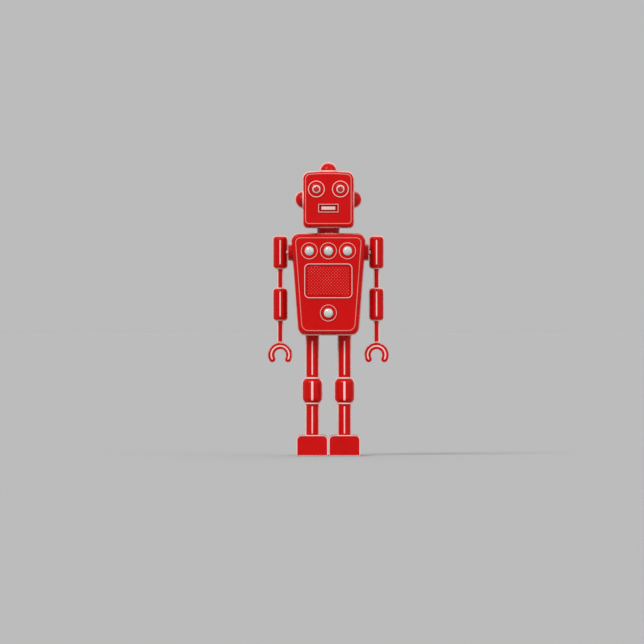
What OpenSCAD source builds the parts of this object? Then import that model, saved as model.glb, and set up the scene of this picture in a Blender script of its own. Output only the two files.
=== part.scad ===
// Tin wind-up walking robot: pressed tin shells round a spring-driven clockwork movement.
// Millimetres. +Z is up, the robot faces -Y, and its left hand is on +X.
// The origin is on the floor, midway between the feet.

/* [Feet and legs] */
// Width of one foot
foot_w = 25.5; // [23:0.5:25.5]
// Height of the foot shell, sole included
foot_h = 17; // [15:0.5:18]
// How far the toe reaches in front of the hip axis
toe_reach = 36; // [32:1:40]
// How far the heel reaches behind the hip axis
heel_reach = 20; // [18:1:24]
// Distance of each leg from the middle
leg_x = 13.15; // [13:0.05:13.3]
// Outside diameter of the leg tubes
leg_d = 11.3; // [10.6:0.1:11.4]
// Height of the lower leg tube
lower_leg_h = 25.2; // [23:0.2:28]
// Diameter of the knee cuff
knee_d = 16.8; // [15:0.2:18]
// Height of the knee cuff
knee_h = 21.9; // [18:0.1:24]
// Height of the upper leg tube that shows below the torso
upper_leg_h = 34.2; // [32:0.1:38]

/* [Torso] */
// Width at the shoulders, over the seam
torso_w_top = 62.6; // [61.5:0.1:63]
// Width at the hips, over the seam
torso_w_bottom = 50.2; // [50:0.1:51]
// Height over the seam
torso_h = 83.7; // [83.5:0.1:84.5]
// Depth from front to back
torso_d = 36; // [35.5:0.1:37]
// Radius of the torso's corners
torso_r = 6.8; // [5.4:0.1:7]

/* [Head] */
// Width over the seam
head_w = 42.4; // [41:0.2:43]
// Height over the seam
head_h = 47.2; // [46:0.1:49]
// Depth from front to back
head_d = 34; // [32:0.5:35]
// Height of the neck that shows
neck_h = 4; // [3.5:0.1:5]
// Radius of the crown and ear domes
dome_r = 7.1; // [6.4:0.1:7.2]
// Diameter of the eye and dial bezels
bezel_d = 13.6; // [13:0.1:14]

/* [Arms] */
// Distance of each arm from the middle
arm_x = 39.4; // [39.2:0.1:40]
// Diameter of the arm sleeves
sleeve_d = 12.4; // [11.8:0.1:12.5]
// Length of each sleeve
sleeve_h = 27; // [25:0.5:28]
// Diameter of the rod that joins the sleeves
arm_rod_d = 4.9; // [4.6:0.1:5]
// Outside radius of the claw
claw_r = 9.9; // [9.6:0.1:10.2]
// Inside radius of the claw, which grips a round rod
claw_grip_r = 4.7; // [4.3:0.1:4.8]
// Angle that the claw wraps round
claw_wrap = 236; // [220:2:240]

/* [Movement] */
// Greatest swing of each leg, to either side of upright
stride_angle = 9; // [7:0.5:9]
// Turns of the mainspring strip
spring_turns = 8; // [6:1:9]

/* [Hidden] */
$fn = 64;

LEFT = 1;
RIGHT = -1;

// Sheet and fit
wall = 0.6;           // tin shell thickness
lip = 1.1;            // how far a crimped seam of the head and torso stands proud
fin = 0.85;           // how far the limbs' seams stand proud
fin_t = 0.8;          // thickness of the limbs' seams
lip_t = 0.7;          // thickness of each half of a seam
torso_edge = 2.4;     // rounding of the torso's front and back edges
head_edge = 1.8;      // rounding of the head's front and back edges
run = 0.06;           // radial clearance of a running fit
seat = 0.02;          // radial clearance of a fixed fit
gap = 0.3;            // clearance between bodies

// Gear train: the great wheel drives two pinions, and the crown wheel drives the crankshaft
great_module = 0.6;
great_teeth = 50;
pinion_teeth = 10;
crown_teeth = 24;
crank_teeth = 12;

neck_r = 9.1;         // radius of the neck collar over its seam

// Heights, from the floor up
sole_t = 0.8;
knee_z = foot_h + lower_leg_h;
thigh_z = knee_z + knee_h;
torso_z = thigh_z + upper_leg_h;
torso_top = torso_z + torso_h;
head_z = torso_top + neck_h;
head_top = head_z + head_h;
hip_z = torso_z + 9.95;
crank_z = hip_z + 20;
centre_distance = great_module * (great_teeth + pinion_teeth) / 2;
winder_z = crank_z + centre_distance;
shoulder_z = torso_z + 67.95;
drive_r = 40;         // radius on the leg lever where the arm lever's pin rides
arm_lever = shoulder_z - hip_z - drive_r;
front_y = -torso_d / 2;
back_y = torso_d / 2;
face_y = -head_d / 2;

// Face and chest layout
eye_x = 9.8;
eye_z = head_z + 31.8;
mouth_z = head_z + 16.2;
ear_z = head_z + 23.4;
dial_pitch = 15.6;
dial_z = torso_z + 69;
grille_z = torso_z + 44.5;
grille_w = 39.2;
grille_h = 28.2;
belly_z = torso_z + 18.3;
lens_r = 3.65;

// Levers and cranks
yoke_ear_in = [leg_x - 4.8, leg_x - 3.8];
yoke_ear_out = [leg_x + 3.8, leg_x + 4.8];
lever_t = 1;
crank_r = (crank_z - hip_z) * sin(stride_angle);
pin_r = 0.8;
arbor_r = 0.8;
winder_r = 1.5;

// Layers of the movement along Y
front_plate_y = [-4.6, -3.8];
back_plate_y = [10, 10.8];
great_y = [7.4, 8.6];
ratchet_y = [6.2, 7.2];
bridge_y = [5.9, 6.6];
governor_y = [5.0, 5.8];
spring_y = [-3.2, 2.6];
crown_pitch_y = great_module * crank_teeth / 2;
crown_r = great_module * crown_teeth / 2;
plate_hw = 16;
plate_top = winder_z + 28;
plate_bottom = winder_z - 12;
governor_module = 0.5;
governor_teeth = 30;
fly_teeth = 8;
governor_angle = 104.4;
governor_c = [centre_distance * cos(governor_angle),
              winder_z + centre_distance * sin(governor_angle)];
fly_c = governor_c + [governor_module * (governor_teeth + fly_teeth) / 2, 0];
pillar_at = [for (s = [-1, 1]) each [[14.3 * s, winder_z - 10], [13.2 * s, winder_z + 24]]];
drum_x = [torso_w_top / 2 - 3.8, arm_x - sleeve_d / 2 - gap];
drum_r = 6.95 - fin;

red = "firebrick";
cream = "antiquewhite";
steel = "lightsteelblue";
brass = "goldenrod";

// ---------------------------------------------------------------- helpers

module cyl_x(r, x) translate([x[0], 0, 0]) rotate([0, 90, 0]) cylinder(r = r, h = x[1] - x[0]);
module cyl_y(r, y) translate([0, y[0], 0]) rotate([-90, 0, 0]) cylinder(r = r, h = y[1] - y[0]);
module cyl_z(r, z) translate([0, 0, z[0]]) cylinder(r = r, h = z[1] - z[0]);

// A block given by its ranges along X, Y and Z.
module block(x, y, z) {
    translate([x[0], y[0], z[0]]) cube([x[1] - x[0], y[1] - y[0], z[1] - z[0]]);
}

// Extrudes a 2D shape drawn in (x, z) between two places along Y.
module along_y(y) translate([0, y[1], 0]) rotate([90, 0, 0]) linear_extrude(y[1] - y[0]) children();

// Extrudes a 2D shape drawn in (y, z) between two places along X.
module along_x(x) {
    translate([x[0], 0, 0]) rotate([90, 0, 90]) linear_extrude(x[1] - x[0]) children();
}

function unit(v) = v / norm(v);

// The points of one rounded corner at b, between neighbours a and c, anticlockwise.
function corner(a, b, c, r, n) =
    let (to_a = unit(a - b), to_c = unit(c - b), half = acos(to_a * to_c) / 2)
    let (middle = b + unit(to_a + to_c) * r / sin(half))
    let (first = b + to_a * r / tan(half) - middle)
    let (start = atan2(first.y, first.x), sweep = 180 - 2 * half)
    [for (i = [0:n]) middle + r * [cos(start + sweep * i / n), sin(start + sweep * i / n)]];

// Rounds a convex outline given anticlockwise as [x, y, radius].
function rounded(p, n = 6) =
    let (k = len(p))
    [for (i = [0:k - 1])
        let (a = p[(i + k - 1) % k], b = p[i], c = p[(i + 1) % k])
        each corner([a.x, a.y], [b.x, b.y], [c.x, c.y], b[2], n)];

function rectangle(w, h, r) =
    rounded([[w / 2, -h / 2, r], [w / 2, h / 2, r], [-w / 2, h / 2, r], [-w / 2, -h / 2, r]]);

// A quarter turn from angle a0 about c, for the profile of a turned shell.
function quarter(c, r, a0, a1, n = 5) =
    [for (i = [0:n]) c + r * [cos(a0 + (a1 - a0) * i / n), sin(a0 + (a1 - a0) * i / n)]];

// A solid of revolution of radius r and height h whose ends are rounded with radius c.
module drum(r, h, c) rotate_extrude() polygon(concat(
    [[0, 0]],
    quarter([r - c, c], c, -90, 0),
    quarter([r - c, h - c], c, 0, 90),
    [[0, h]]
));

// A hollow can of two pressed halves, with a seam that stands out all round at y = 0
// and an eyelet of radius ring where a rod enters each bored end.
module can(r, h, c, bore_low, bore_high, ring) difference() {
    union() {
        translate([0, 0, fin]) drum(r - fin, h - 2 * fin, c - fin);
        translate([0, 0, h / 2]) along_y([-fin_t / 2, fin_t / 2]) polygon(rectangle(2 * r, h, c));
        cyl_z(ring, [0, fin + wall / 2]);
        if (bore_high > 0) cyl_z(ring, [h - fin - wall / 2, h]);
    }
    translate([0, 0, fin + wall]) drum(r - fin - wall, h - 2 * (fin + wall), c - fin - wall);
    cyl_z(bore_low, [-1, fin + wall + 1]);
    if (bore_high > 0) cyl_z(bore_high, [h - fin - wall - 1, h + 1]);
}

function involute(a) = tan(a) * 180 / PI - a;

// Outline of a spur gear with one tooth on +x; addendum and dedendum are in modules.
function gear_outline(m, teeth, addendum = 0.6, dedendum = 1, backlash = 0.2) =
    let (pitch_r = m * teeth / 2, base_r = pitch_r * cos(20), root_r = pitch_r - dedendum * m)
    let (tip_r = pitch_r + addendum * m, half = (PI * m / 2 - backlash) / 4 / pitch_r * 360 / PI)
    let (low = max(base_r, root_r), steps = 3)
    let (flank = [for (i = [0:steps])
        let (r = low + (tip_r - low) * i / steps)
        [r, half + involute(20) - involute(acos(min(1, base_r / r)))]])
    let (side = root_r < base_r ? concat([[root_r, flank[0][1]]], flank) : flank, k = len(side))
    [for (t = [0:teeth - 1], j = [0:2 * k - 1])
        let (p = j < k ? side[j] : side[2 * k - 1 - j], s = j < k ? -1 : 1)
        let (a = t * 360 / teeth + s * p[1])
        p[0] * [cos(a), sin(a)]];

// A gear on an axis along Y at c = [x, z], turned so that one tooth points at angle a.
module gear_y(c, m, teeth, y, bore, a, addendum = 0.6) {
    translate([c.x, 0, c.y]) difference() {
        along_y(y) rotate(a) polygon(gear_outline(m, teeth, addendum));
        if (bore > 0) cyl_y(bore, [y[0] - 1, y[1] + 1]);
    }
}

// Joins closed rings of equally many points, given in order, into one solid.
module loft(rings) {
    k = len(rings[0]);
    last = len(rings) - 1;
    walls = [for (i = [0:last - 1], j = [0:k - 1])
        let (n = (j + 1) % k)
        [i * k + j, (i + 1) * k + j, (i + 1) * k + n, i * k + n]];
    low = [for (j = [0:k - 1]) j];
    high = [for (j = [k - 1:-1:0]) last * k + j];
    polyhedron([for (ring = rings) each ring], concat(walls, [low, high]));
}

// A round wire wound into a helix about the Y axis.
module coil_y(r, wire_r, y, turns, sides = 8, per_turn = 20) {
    steps = turns * per_turn;
    loft([for (i = [0:steps]) [for (k = [0:sides - 1])
        let (a = 360 * i / per_turn, b = 360 * k / sides, rr = r + wire_r * cos(b))
        [rr * cos(a), y[0] + (y[1] - y[0]) * i / steps + wire_r * sin(b), rr * sin(a)]]]);
}

// A pressed block between y = 0 and y = end, whose outline(d) is inset round the far edge.
module pressed(outline, d, end, r, steps = 4) {
    s = end < 0 ? 1 : -1;
    order = [for (i = [0:steps]) let (a = 90 * i / steps) [end + s * r * (1 - cos(a)), r * (1 - sin(a))]];
    level = concat(order, [[0, 0]]);
    n = len(level) - 1;
    loft([for (i = [0:n]) let (q = level[s > 0 ? n - i : i])
        [for (p = outline(d + q[1])) [p.x, q[0], p.y]]]);
}

// ---------------------------------------------------------------- torso

// Half width of the torso at height z, over the seam.
function torso_half_width(z) =
    (torso_w_bottom + (torso_w_top - torso_w_bottom) * (z - torso_z) / torso_h) / 2;

// Torso outline in (x, z), moved inwards by d from the outside of the seam.
torso_outline = function (d)
    let (bottom = torso_w_bottom / 2 - d, top = torso_w_top / 2 - d, r = torso_r - d)
    rounded([[bottom, torso_z + d, r], [top, torso_top - d, r],
             [-top, torso_top - d, r], [-bottom, torso_z + d, r]]);

// Everything that passes through the torso's skin.
module torso_openings() {
    cyl_z(3.2, [torso_top - 4, torso_top + 1]);
    cyl_z(neck_r + 0.1, [torso_top - lip, torso_top + 1]);
    for (s = [LEFT, RIGHT]) {
        translate([0, 0, shoulder_z]) cyl_x(drum_r + 0.1, s > 0 ? [24, 36] : [-36, -24]);
        leg_slot(s, torso_z - 1, torso_z + 3);
    }
}

// The clearance hole in which a leg tube swings, made larger all round by grow.
module leg_slot(s, z0, z1, grow = 0) {
    half_x = leg_d / 2 + 0.5 + grow;
    half_y = leg_d / 2 + 1.9 + grow;
    block([s * leg_x - half_x, s * leg_x + half_x], [-half_y, half_y], [z0, z1]);
}

// Keeps the front or back half of its children.
module half_space(end) intersection() {
    children();
    block([-60, 60], end < 0 ? [-60, 0] : [0, 60], [0, 260]);
}

module torso_half(end, hollow_end, y_lip) {
    difference() {
        union() {
            along_y(y_lip) polygon(torso_outline(0));
            pressed(torso_outline, lip, end, torso_edge);
            half_space(end) intersection() {
                for (s = [LEFT, RIGHT]) leg_slot(s, torso_z, torso_z + lip + 0.3, 0.9);
                along_y([-12, 12]) polygon(torso_outline(0));
            }
        }
        pressed(torso_outline, lip + wall, hollow_end, torso_edge - wall);
        along_y([-0.01, 0.01]) polygon(torso_outline(lip + wall));
        torso_openings();
    }
}

module torso_front_shell() color(red) difference() {
    torso_half(front_y, front_y + wall, [-lip_t, 0]);
    translate([0, 0, grille_z]) along_y([front_y - 1, front_y + 2]) polygon(rectangle(35.6, 24.6, 2));
    for (i = [-1:1]) translate([i * dial_pitch, 0, dial_z]) cyl_y(4.5, [front_y - 1, front_y + 2]);
    translate([0, 0, belly_z]) cyl_y(4.5, [front_y - 1, front_y + 2]);
}

module torso_back_shell() color(red) difference() {
    torso_half(back_y, back_y - wall, [0, lip_t]);
    translate([0, 0, winder_z]) cyl_y(3, [back_y - 2, back_y + 1]);
    for (p = pillar_at) translate([p.x, 0, p.y]) cyl_y(1.3, [back_y - 2, back_y + 1]);
}

module grille_frame() color(cream) translate([0, 0, grille_z]) difference() {
    along_y([front_y - 0.8, front_y]) polygon(rectangle(grille_w, grille_h, 4));
    along_y([front_y - 1, front_y + 1]) polygon(rectangle(grille_w - 2.4, grille_h - 2.4, 2.8));
}

// The plate lies behind the wall, with a boss that fills the window.
module grille_plate() color(red) translate([0, 0, grille_z]) {
    along_y([front_y, front_y + wall]) polygon(rectangle(35.2, 24.2, 1.8));
    along_y([front_y + wall, front_y + 2 * wall]) polygon(rectangle(38, 27, 2));
}

// A dial bezel: a rim on the skin and a tube through it, around a bore.
module bezel(y, bore) {
    difference() {
        union() {
            cyl_y(bezel_d / 2, [y - 1, y]);
            cyl_y(4.4, [y, y + 2.4]);
        }
        cyl_y(bore, [y - 2, y + 3]);
    }
}

// A domed lens with a short skirt.
module lens(y, r) {
    dome = 1.4;
    ball = (r * r + dome * dome) / (2 * dome);
    intersection() {
        cyl_y(r, [y - 3, y + 2]);
        translate([0, y - 1 - dome + ball, 0]) sphere(ball);
    }
}

module chest_dial_bezels() color(red)
    for (i = [-1:1]) translate([i * dial_pitch, 0, dial_z]) bezel(front_y, lens_r + seat);

module chest_dial_lenses() color(cream)
    for (i = [-1:1]) translate([i * dial_pitch, 0, dial_z]) lens(front_y, lens_r);

// The button's guide: a bezel with a longer tube and an end wall that carries the spring.
module belly_bezel() color(red) translate([0, 0, belly_z]) difference() {
    union() {
        cyl_y(bezel_d / 2, [front_y - 1, front_y]);
        cyl_y(4.4, [front_y, front_y + 4.2]);
    }
    cyl_y(lens_r + run, [front_y - 2, front_y + 3.6]);
    cyl_y(1.5 + run, [front_y, front_y + 5]);
}

module neck_collar() color(red) difference() {
    z = [torso_top - lip, head_z + lip - gap];
    union() {
        cyl_z(neck_r - fin, z);
        cyl_z(neck_r, [torso_top - lip, torso_top]);
        block([-neck_r, neck_r], [-fin_t / 2, fin_t / 2], z);
    }
    cyl_z(3 + run, [torso_top - 2, head_z + 2]);
}

// The shoulder drums: each passes through the torso's side and carries an arm axle.
module shoulder_bushes() color(red) for (s = [LEFT, RIGHT]) translate([0, 0, shoulder_z]) difference() {
    edge = drum_r + fin;
    low_x = torso_half_width(shoulder_z - edge) + 0.1;
    high_x = torso_half_width(shoulder_z + edge) + 0.1;
    union() {
        cyl_x(drum_r, s > 0 ? drum_x : [-drum_x[1], -drum_x[0]]);
        cyl_x(8.2, s > 0 ? [drum_x[0] - 1, drum_x[0]] : [-drum_x[0], 1 - drum_x[0]]);
        along_y([-fin_t / 2, fin_t / 2]) polygon([[s * low_x, -edge], [s * drum_x[1], -edge],
            [s * drum_x[1], edge], [s * high_x, edge]]);
    }
    cyl_x(2 + run, s > 0 ? [drum_x[0] - 3, drum_x[1] + 3] : [-drum_x[1] - 3, 3 - drum_x[0]]);
}

// ---------------------------------------------------------------- movement

// Floor plate with four bent-up ears that carry the hip shaft.
module hip_bracket() color(steel) {
    floor_z = torso_z + lip + wall;
    plate_hx = leg_x + 6.5;
    intersection() {
        along_y([-12, 12]) polygon(torso_outline(lip + wall + seat));
        difference() {
            union() {
                block([-plate_hx, plate_hx], [-12, 12], [floor_z, floor_z + 0.8]);
                for (x = [-plate_hx, -6, 5.4, plate_hx - 0.6]) {
                    block([x, x + 0.6], [-9, 9], [floor_z + 0.8, floor_z + 3.5]);
                    block([x, x + 0.6], [-3, 3], [floor_z + 3.5, hip_z + 3]);
                }
            }
            for (s = [LEFT, RIGHT]) leg_slot(s, floor_z - 1, floor_z + 0.8);
            translate([0, 0, hip_z]) cyl_x(1.5 + seat, [-30, 30]);
        }
    }
}

// Fixed pivot of both legs, with peened heads.
module hip_shaft() color(steel) translate([0, 0, hip_z]) {
    end = leg_x + 6.5;
    cyl_x(1.5, [-end, end]);
    cyl_x(2.2, [end, end + 0.8]);
    cyl_x(2.2, [-end - 0.8, -end]);
}

// Holes that every movement plate shares.
module plate_holes(y) {
    for (p = pillar_at) translate([p.x, 0, p.y]) cyl_y(0.95 + seat, [y[0] - 1, y[1] + 1]);
    translate([0, 0, winder_z]) cyl_y(winder_r + run, [y[0] - 1, y[1] + 1]);
    for (c = [governor_c, fly_c])
        translate([c.x, 0, c.y]) cyl_y(arbor_r + run, [y[0] - 1, y[1] + 1]);
}

module movement_front_plate() color(brass) difference() {
    block([-plate_hw, plate_hw], front_plate_y, [plate_bottom, plate_top]);
    plate_holes(front_plate_y);
}

// The back plate carries bent cheeks for the crankshaft and a bridge for the crown wheel.
module movement_back_plate() color(brass) {
    cheek = [11, 11.8];
    difference() {
        union() {
            block([-plate_hw, plate_hw], back_plate_y, [plate_bottom, plate_top]);
            block([-cheek[1], cheek[1]], back_plate_y, [crank_z - 8, plate_bottom]);
            for (s = [LEFT, RIGHT]) {
                x = s > 0 ? cheek : [-cheek[1], -cheek[0]];
                block(x, [-2.5, back_plate_y[0]], [crank_z - 4.5, crank_z + 4.5]);
            }
            block([-cheek[0], cheek[0]], bridge_y, [crank_z - 2.5, crank_z + 2.5]);
        }
        plate_holes(back_plate_y);
        translate([0, 0, crank_z]) cyl_x(1 + run, [-cheek[1] - 1, cheek[1] + 1]);
        translate([0, 0, crank_z]) cyl_y(arbor_r + run, [bridge_y[0] - 1, back_plate_y[1] + 1]);
    }
}

// Each pillar spaces the plates, then stands off the back shell.
module movement_pillars() color(steel) for (p = pillar_at) translate([p.x, 0, p.y]) difference() {
    union() {
        cyl_y(1.3, [front_plate_y[1], back_plate_y[0]]);
        cyl_y(0.95, [front_plate_y[0] - 1.6, front_plate_y[1]]);
        cyl_y(0.95, back_plate_y);
        cyl_y(2, [back_plate_y[1], back_y - wall]);
    }
    cyl_y(0.9, [back_y - wall - 4, back_y]);
}

// The nuts on the front plate and the screws through the back shell.
module movement_fasteners() color(steel) for (p = pillar_at) translate([p.x, 0, p.y]) {
    difference() {
        along_y([front_plate_y[0] - 1.2, front_plate_y[0]]) circle(2.2, $fn = 6);
        cyl_y(0.95 + seat, [front_plate_y[0] - 2, front_plate_y[0] + 1]);
    }
    difference() {
        union() {
            cyl_y(0.88, [back_y - wall - 3.6, back_y]);
            cyl_y(2.4, [back_y, back_y + 1.1]);
        }
        block([-0.35, 0.35], [back_y + 0.6, back_y + 2], [-3, 3]);
    }
}

// The mainspring strip, let down, with its outer end looped round a pillar.
module mainspring() color(steel) {
    r0 = winder_r + 0.9;
    r1 = 12.2;
    strip = 0.35;
    steps = spring_turns * 24;
    edge = function (d) [for (i = [0:steps])
        let (a = -360 * spring_turns * i / steps, r = r0 + (r1 - r0) * i / steps + d)
        r * [cos(a), sin(a)]];
    outer = edge(strip);
    inner = edge(0);
    post = [14.3, -10];
    translate([0, 0, winder_z]) along_y(spring_y) {
        polygon(concat(outer, [for (i = [steps:-1:0]) inner[i]]));
        polygon([[r1, 0.3], [r1 + strip, 0.3], [post.x - 1.35, post.y], [post.x - 1.7, post.y]]);
        translate(post) difference() {
            circle(1.7);
            circle(1.33);
        }
    }
}

// Cap, stem and blade of the start and stop button.
module stop_button() color(cream) translate([0, 0, belly_z]) {
    dome = 1.2;
    ball = (lens_r * lens_r + dome * dome) / (2 * dome);
    union() {
        intersection() {
            cyl_y(lens_r, [front_y - 4, front_y + 0.8]);
            translate([0, front_y - 2 - dome + ball, 0]) sphere(ball);
        }
        cyl_y(1.5, [front_y + 0.8, -9]);
        cyl_y(2.4, [front_y + 4.4, front_y + 5.2]);
        block([-2.5, 2.5], [-9, -8], [-2.4, crank_z - belly_z + 3]);
    }
}

module brake_pad() color("dimgray") block([-1.4, 1.4], [-8, -4.9], [crank_z - 2.5, crank_z + 2.5]);

module button_spring() color(steel) translate([0, 0, belly_z])
    coil_y(2.6, 0.3, [front_y + 1.12, front_y + 3.28], 3);

// A two-lobed key whose stem fits the arbor's squared end.
module winding_key() color(steel) translate([0, 0, winder_z]) difference() {
    union() {
        cyl_y(2.6, [back_y - 0.3, back_y + 7]);
        key_plate([back_y + 4.5, back_y + 18]);
    }
    block([-1.06, 1.06], [back_y - 1, back_y + 4.2], [-1.06, 1.06]);
}

// The key's flat plate, lying in the plane of its own axis.
module key_plate(y) {
    lobe_r = (y[1] - y[0]) / 2;
    middle = (y[0] + y[1]) / 2;
    translate([0, 0, -0.7]) linear_extrude(1.4) difference() {
        union() {
            for (s = [-1, 1]) translate([s * 6.6, middle]) circle(lobe_r);
            translate([-3, y[0]]) square([6, lobe_r + 2]);
        }
        for (s = [-1, 1]) translate([s * 7.2, middle]) circle(lobe_r - 3.1);
    }
}

module winding_arbor() color(steel) translate([0, 0, winder_z]) {
    cyl_y(winder_r, [front_plate_y[0] - 0.8, back_y - 0.5]);
    block([-1.04, 1.04], [back_y - 0.5, back_y + 4], [-1.04, 1.04]);
}

module great_wheel() color(brass)
    gear_y([0, winder_z], great_module, great_teeth, great_y, winder_r + seat, -90);

module ratchet_wheel() color(steel) translate([0, 0, winder_z]) {
    teeth = 12;
    saw = [for (i = [0:teeth - 1]) each [
        6 * [cos(i * 360 / teeth), sin(i * 360 / teeth)],
        4.9 * [cos(i * 360 / teeth + 3), sin(i * 360 / teeth + 3)]]];
    difference() {
        along_y(ratchet_y) polygon(saw);
        cyl_y(winder_r + seat, [ratchet_y[0] - 1, ratchet_y[1] + 1]);
    }
}

// The click, riveted to the great wheel's face, leaning on a ratchet tooth.
module ratchet_click() color(steel) translate([0, 0, winder_z]) along_y([ratchet_y[0], great_y[0]]) {
    translate([-5.5, 7]) circle(1.3);
    polygon([[-5.9, 8.1], [-6.4, 6.3], [-1.4, 6.2], [-1.2, 6.9]]);
}

// Crown wheel: a pinion, a disc and axial teeth that drive the crankshaft across a right angle.
module crown_wheel() color(brass) {
    root_y = crown_pitch_y + 0.8;
    tip_y = crown_pitch_y - 0.4;
    half_root = 0.6;
    half_tip = 0.22;
    translate([0, 0, crank_z]) {
        cyl_y(crown_r + 0.8, [root_y, root_y + 0.8]);
        cyl_y(arbor_r, [root_y + 0.4, back_plate_y[1] + 0.4]);
        for (t = [0:crown_teeth - 1]) rotate([0, (t + 0.5) * 360 / crown_teeth, 0])
            along_x([crown_r - 0.7, crown_r + 0.5]) polygon([
                [root_y + 0.2, -half_root], [root_y + 0.2, half_root],
                [tip_y, half_tip], [tip_y, -half_tip]]);
    }
    gear_y([0, crank_z], great_module, pinion_teeth, [great_y[0] - 0.2, great_y[1] + 0.2], 0,
           90 + 180 / pinion_teeth);
}

// Crankshaft: two discs a half turn apart, a pinion and a brake drum on one shaft.
module crankshaft() color(steel) translate([0, 0, crank_z]) {
    disc = [14.4, 15.6];
    cyl_x(1, [-disc[1], disc[1]]);
    cyl_x(3, [-1.6, 1.6]);
    for (s = [LEFT, RIGHT]) {
        cyl_x(4.7, s > 0 ? disc : [-disc[1], -disc[0]]);
        pin_end = yoke_ear_out[0] - gap;
        translate([0, 0, s * crank_r])
            cyl_x(pin_r, s > 0 ? [disc[1] - 0.2, pin_end] : [-pin_end, 0.2 - disc[1]]);
    }
    along_x([crown_r - 0.9, crown_r + 0.9]) polygon(gear_outline(great_module, crank_teeth, 0.5));
}

module governor_wheel() color(brass) {
    translate([governor_c.x, 0, governor_c.y])
        cyl_y(arbor_r, [front_plate_y[0] - 0.4, back_plate_y[1] + 0.4]);
    gear_y(governor_c, great_module, pinion_teeth, [great_y[0] - 0.2, great_y[1] + 0.2], 0,
           governor_angle + 180 + 180 / pinion_teeth);
    gear_y(governor_c, governor_module, governor_teeth, governor_y, 0, 0);
}

// The fly: a pinion with two inertia weights that steady the speed.
module governor_fly() color(brass) {
    translate([fly_c.x, 0, fly_c.y]) {
        cyl_y(arbor_r, [front_plate_y[0] - 0.4, back_plate_y[1] + 0.4]);
        block([-0.9, 0.9], [-1.4, 0.6], [-4, 4]);
        for (s = [-1, 1]) translate([0, 0, 3.1 * s]) cyl_y(1.5, [-2, 1.2]);
    }
    gear_y(fly_c, governor_module, fly_teeth, [governor_y[0] - 0.2, governor_y[1] + 0.2], 0,
           180 + 180 / fly_teeth, 0.5);
}

// ---------------------------------------------------------------- head

crown_bow = 1.2;      // how far the head's top bulges above its corners

// Head outline in (x, z), moved inwards by d from the outside of the seam.
head_outline = function (d)
    let (half = head_w / 2 - d, low = head_z + d, high = head_top - d)
    let (slope = atan(crown_bow / half), bow_r = 150)
    rounded([[half, low, 3.8 - d], [half, high - crown_bow, 5.9 - d],
             [0, high + bow_r * (1 / cos(slope) - 1), bow_r],
             [-half, high - crown_bow, 5.9 - d], [-half, low, 3.8 - d]]);

module head_half(end, hollow_end, y_lip) {
    difference() {
        union() {
            along_y(y_lip) polygon(head_outline(0));
            pressed(head_outline, lip, end, head_edge);
            half_space(end) cyl_z(10.9, [head_z, head_z + lip + 0.3]);
        }
        pressed(head_outline, lip + wall, hollow_end, head_edge - wall);
        along_y([-0.01, 0.01]) polygon(head_outline(lip + wall));
        cyl_z(3 + seat, [head_z - 1, head_z + 4]);
        cyl_z(10, [head_z - 1, head_z + lip]);
        cyl_z(dome_r + 0.1, [head_top - lip, head_top + 2]);
        for (s = [LEFT, RIGHT]) translate([0, 0, ear_z]) {
            side = head_w / 2 - lip;
            cyl_x(dome_r + 0.1, s > 0 ? [side, side + 2] : [-side - 2, -side]);
        }
    }
}

module head_front_shell() color(red) difference() {
    head_half(face_y, face_y + wall, [-lip_t, 0]);
    for (s = [-1, 1]) translate([s * eye_x, 0, eye_z]) cyl_y(4.5, [face_y - 1, face_y + 2]);
    translate([0, 0, mouth_z]) along_y([face_y - 1, face_y + 2]) polygon(rectangle(13.6, 4.4, 0.4));
}

module head_back_shell() color(red) head_half(-face_y, -face_y - wall, [0, lip_t]);

// A hollow half ball on a flanged skirt, with a seam across it, opening towards -Z.
module dome(skirt) difference() {
    r = dome_r - fin;
    union() {
        cylinder(r = r, h = skirt);
        cylinder(r = dome_r, h = lip);
        translate([0, 0, skirt]) intersection() {
            sphere(r);
            cyl_z(r + 1, [0, r + 1]);
        }
        along_y([-fin_t / 2, fin_t / 2]) {
            translate([-dome_r, 0]) square([2 * dome_r, skirt]);
            intersection() {
                translate([0, skirt]) circle(dome_r);
                translate([-dome_r, skirt]) square([2 * dome_r, dome_r]);
            }
        }
    }
    translate([0, 0, skirt]) sphere(r - wall);
    cyl_z(r - wall, [-1, skirt]);
}

// One dome on the crown and one over each ear.
module head_domes() color(red) {
    translate([0, 0, head_top - lip]) dome(lip - 0.3);
    for (s = [LEFT, RIGHT])
        translate([s * (head_w / 2 - lip), 0, ear_z]) rotate([0, 90 * s, 0]) dome(lip - 0.7);
}

module eye_bezels() color(red)
    for (s = [-1, 1]) translate([s * eye_x, 0, eye_z]) bezel(face_y, lens_r + seat);

module eye_lenses() color(cream)
    for (s = [-1, 1]) translate([s * eye_x, 0, eye_z]) lens(face_y, lens_r);

module mouth_frame() color(cream) translate([0, 0, mouth_z]) difference() {
    along_y([face_y - 0.8, face_y]) polygon(rectangle(16.4, 6.8, 0.6));
    along_y([face_y - 1, face_y + 1]) polygon(rectangle(14.6, 5, 0.4));
}

// Back plate of the mouth with the raised bar of teeth.
module mouth_plate() color(cream) translate([0, 0, mouth_z]) {
    along_y([face_y + wall, face_y + 2 * wall]) polygon(rectangle(16, 7, 0.6));
    along_y([face_y - 0.2, face_y + wall]) polygon(rectangle(11.5, 2.7, 0.3));
}

// Hollow rivet on which the head turns, spread under the torso's top and over the head's floor.
module neck_rivet() color(steel) difference() {
    under = torso_top - lip - wall - gap;
    over = head_z + lip + wall;
    union() {
        cyl_z(3, [under - 1, over + 0.8]);
        cyl_z(5.5, [under - 1, under]);
        cyl_z(5.5, [over, over + 0.8]);
    }
    cyl_z(2, [under - 2, over + 2]);
}

// ---------------------------------------------------------------- arms

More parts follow.
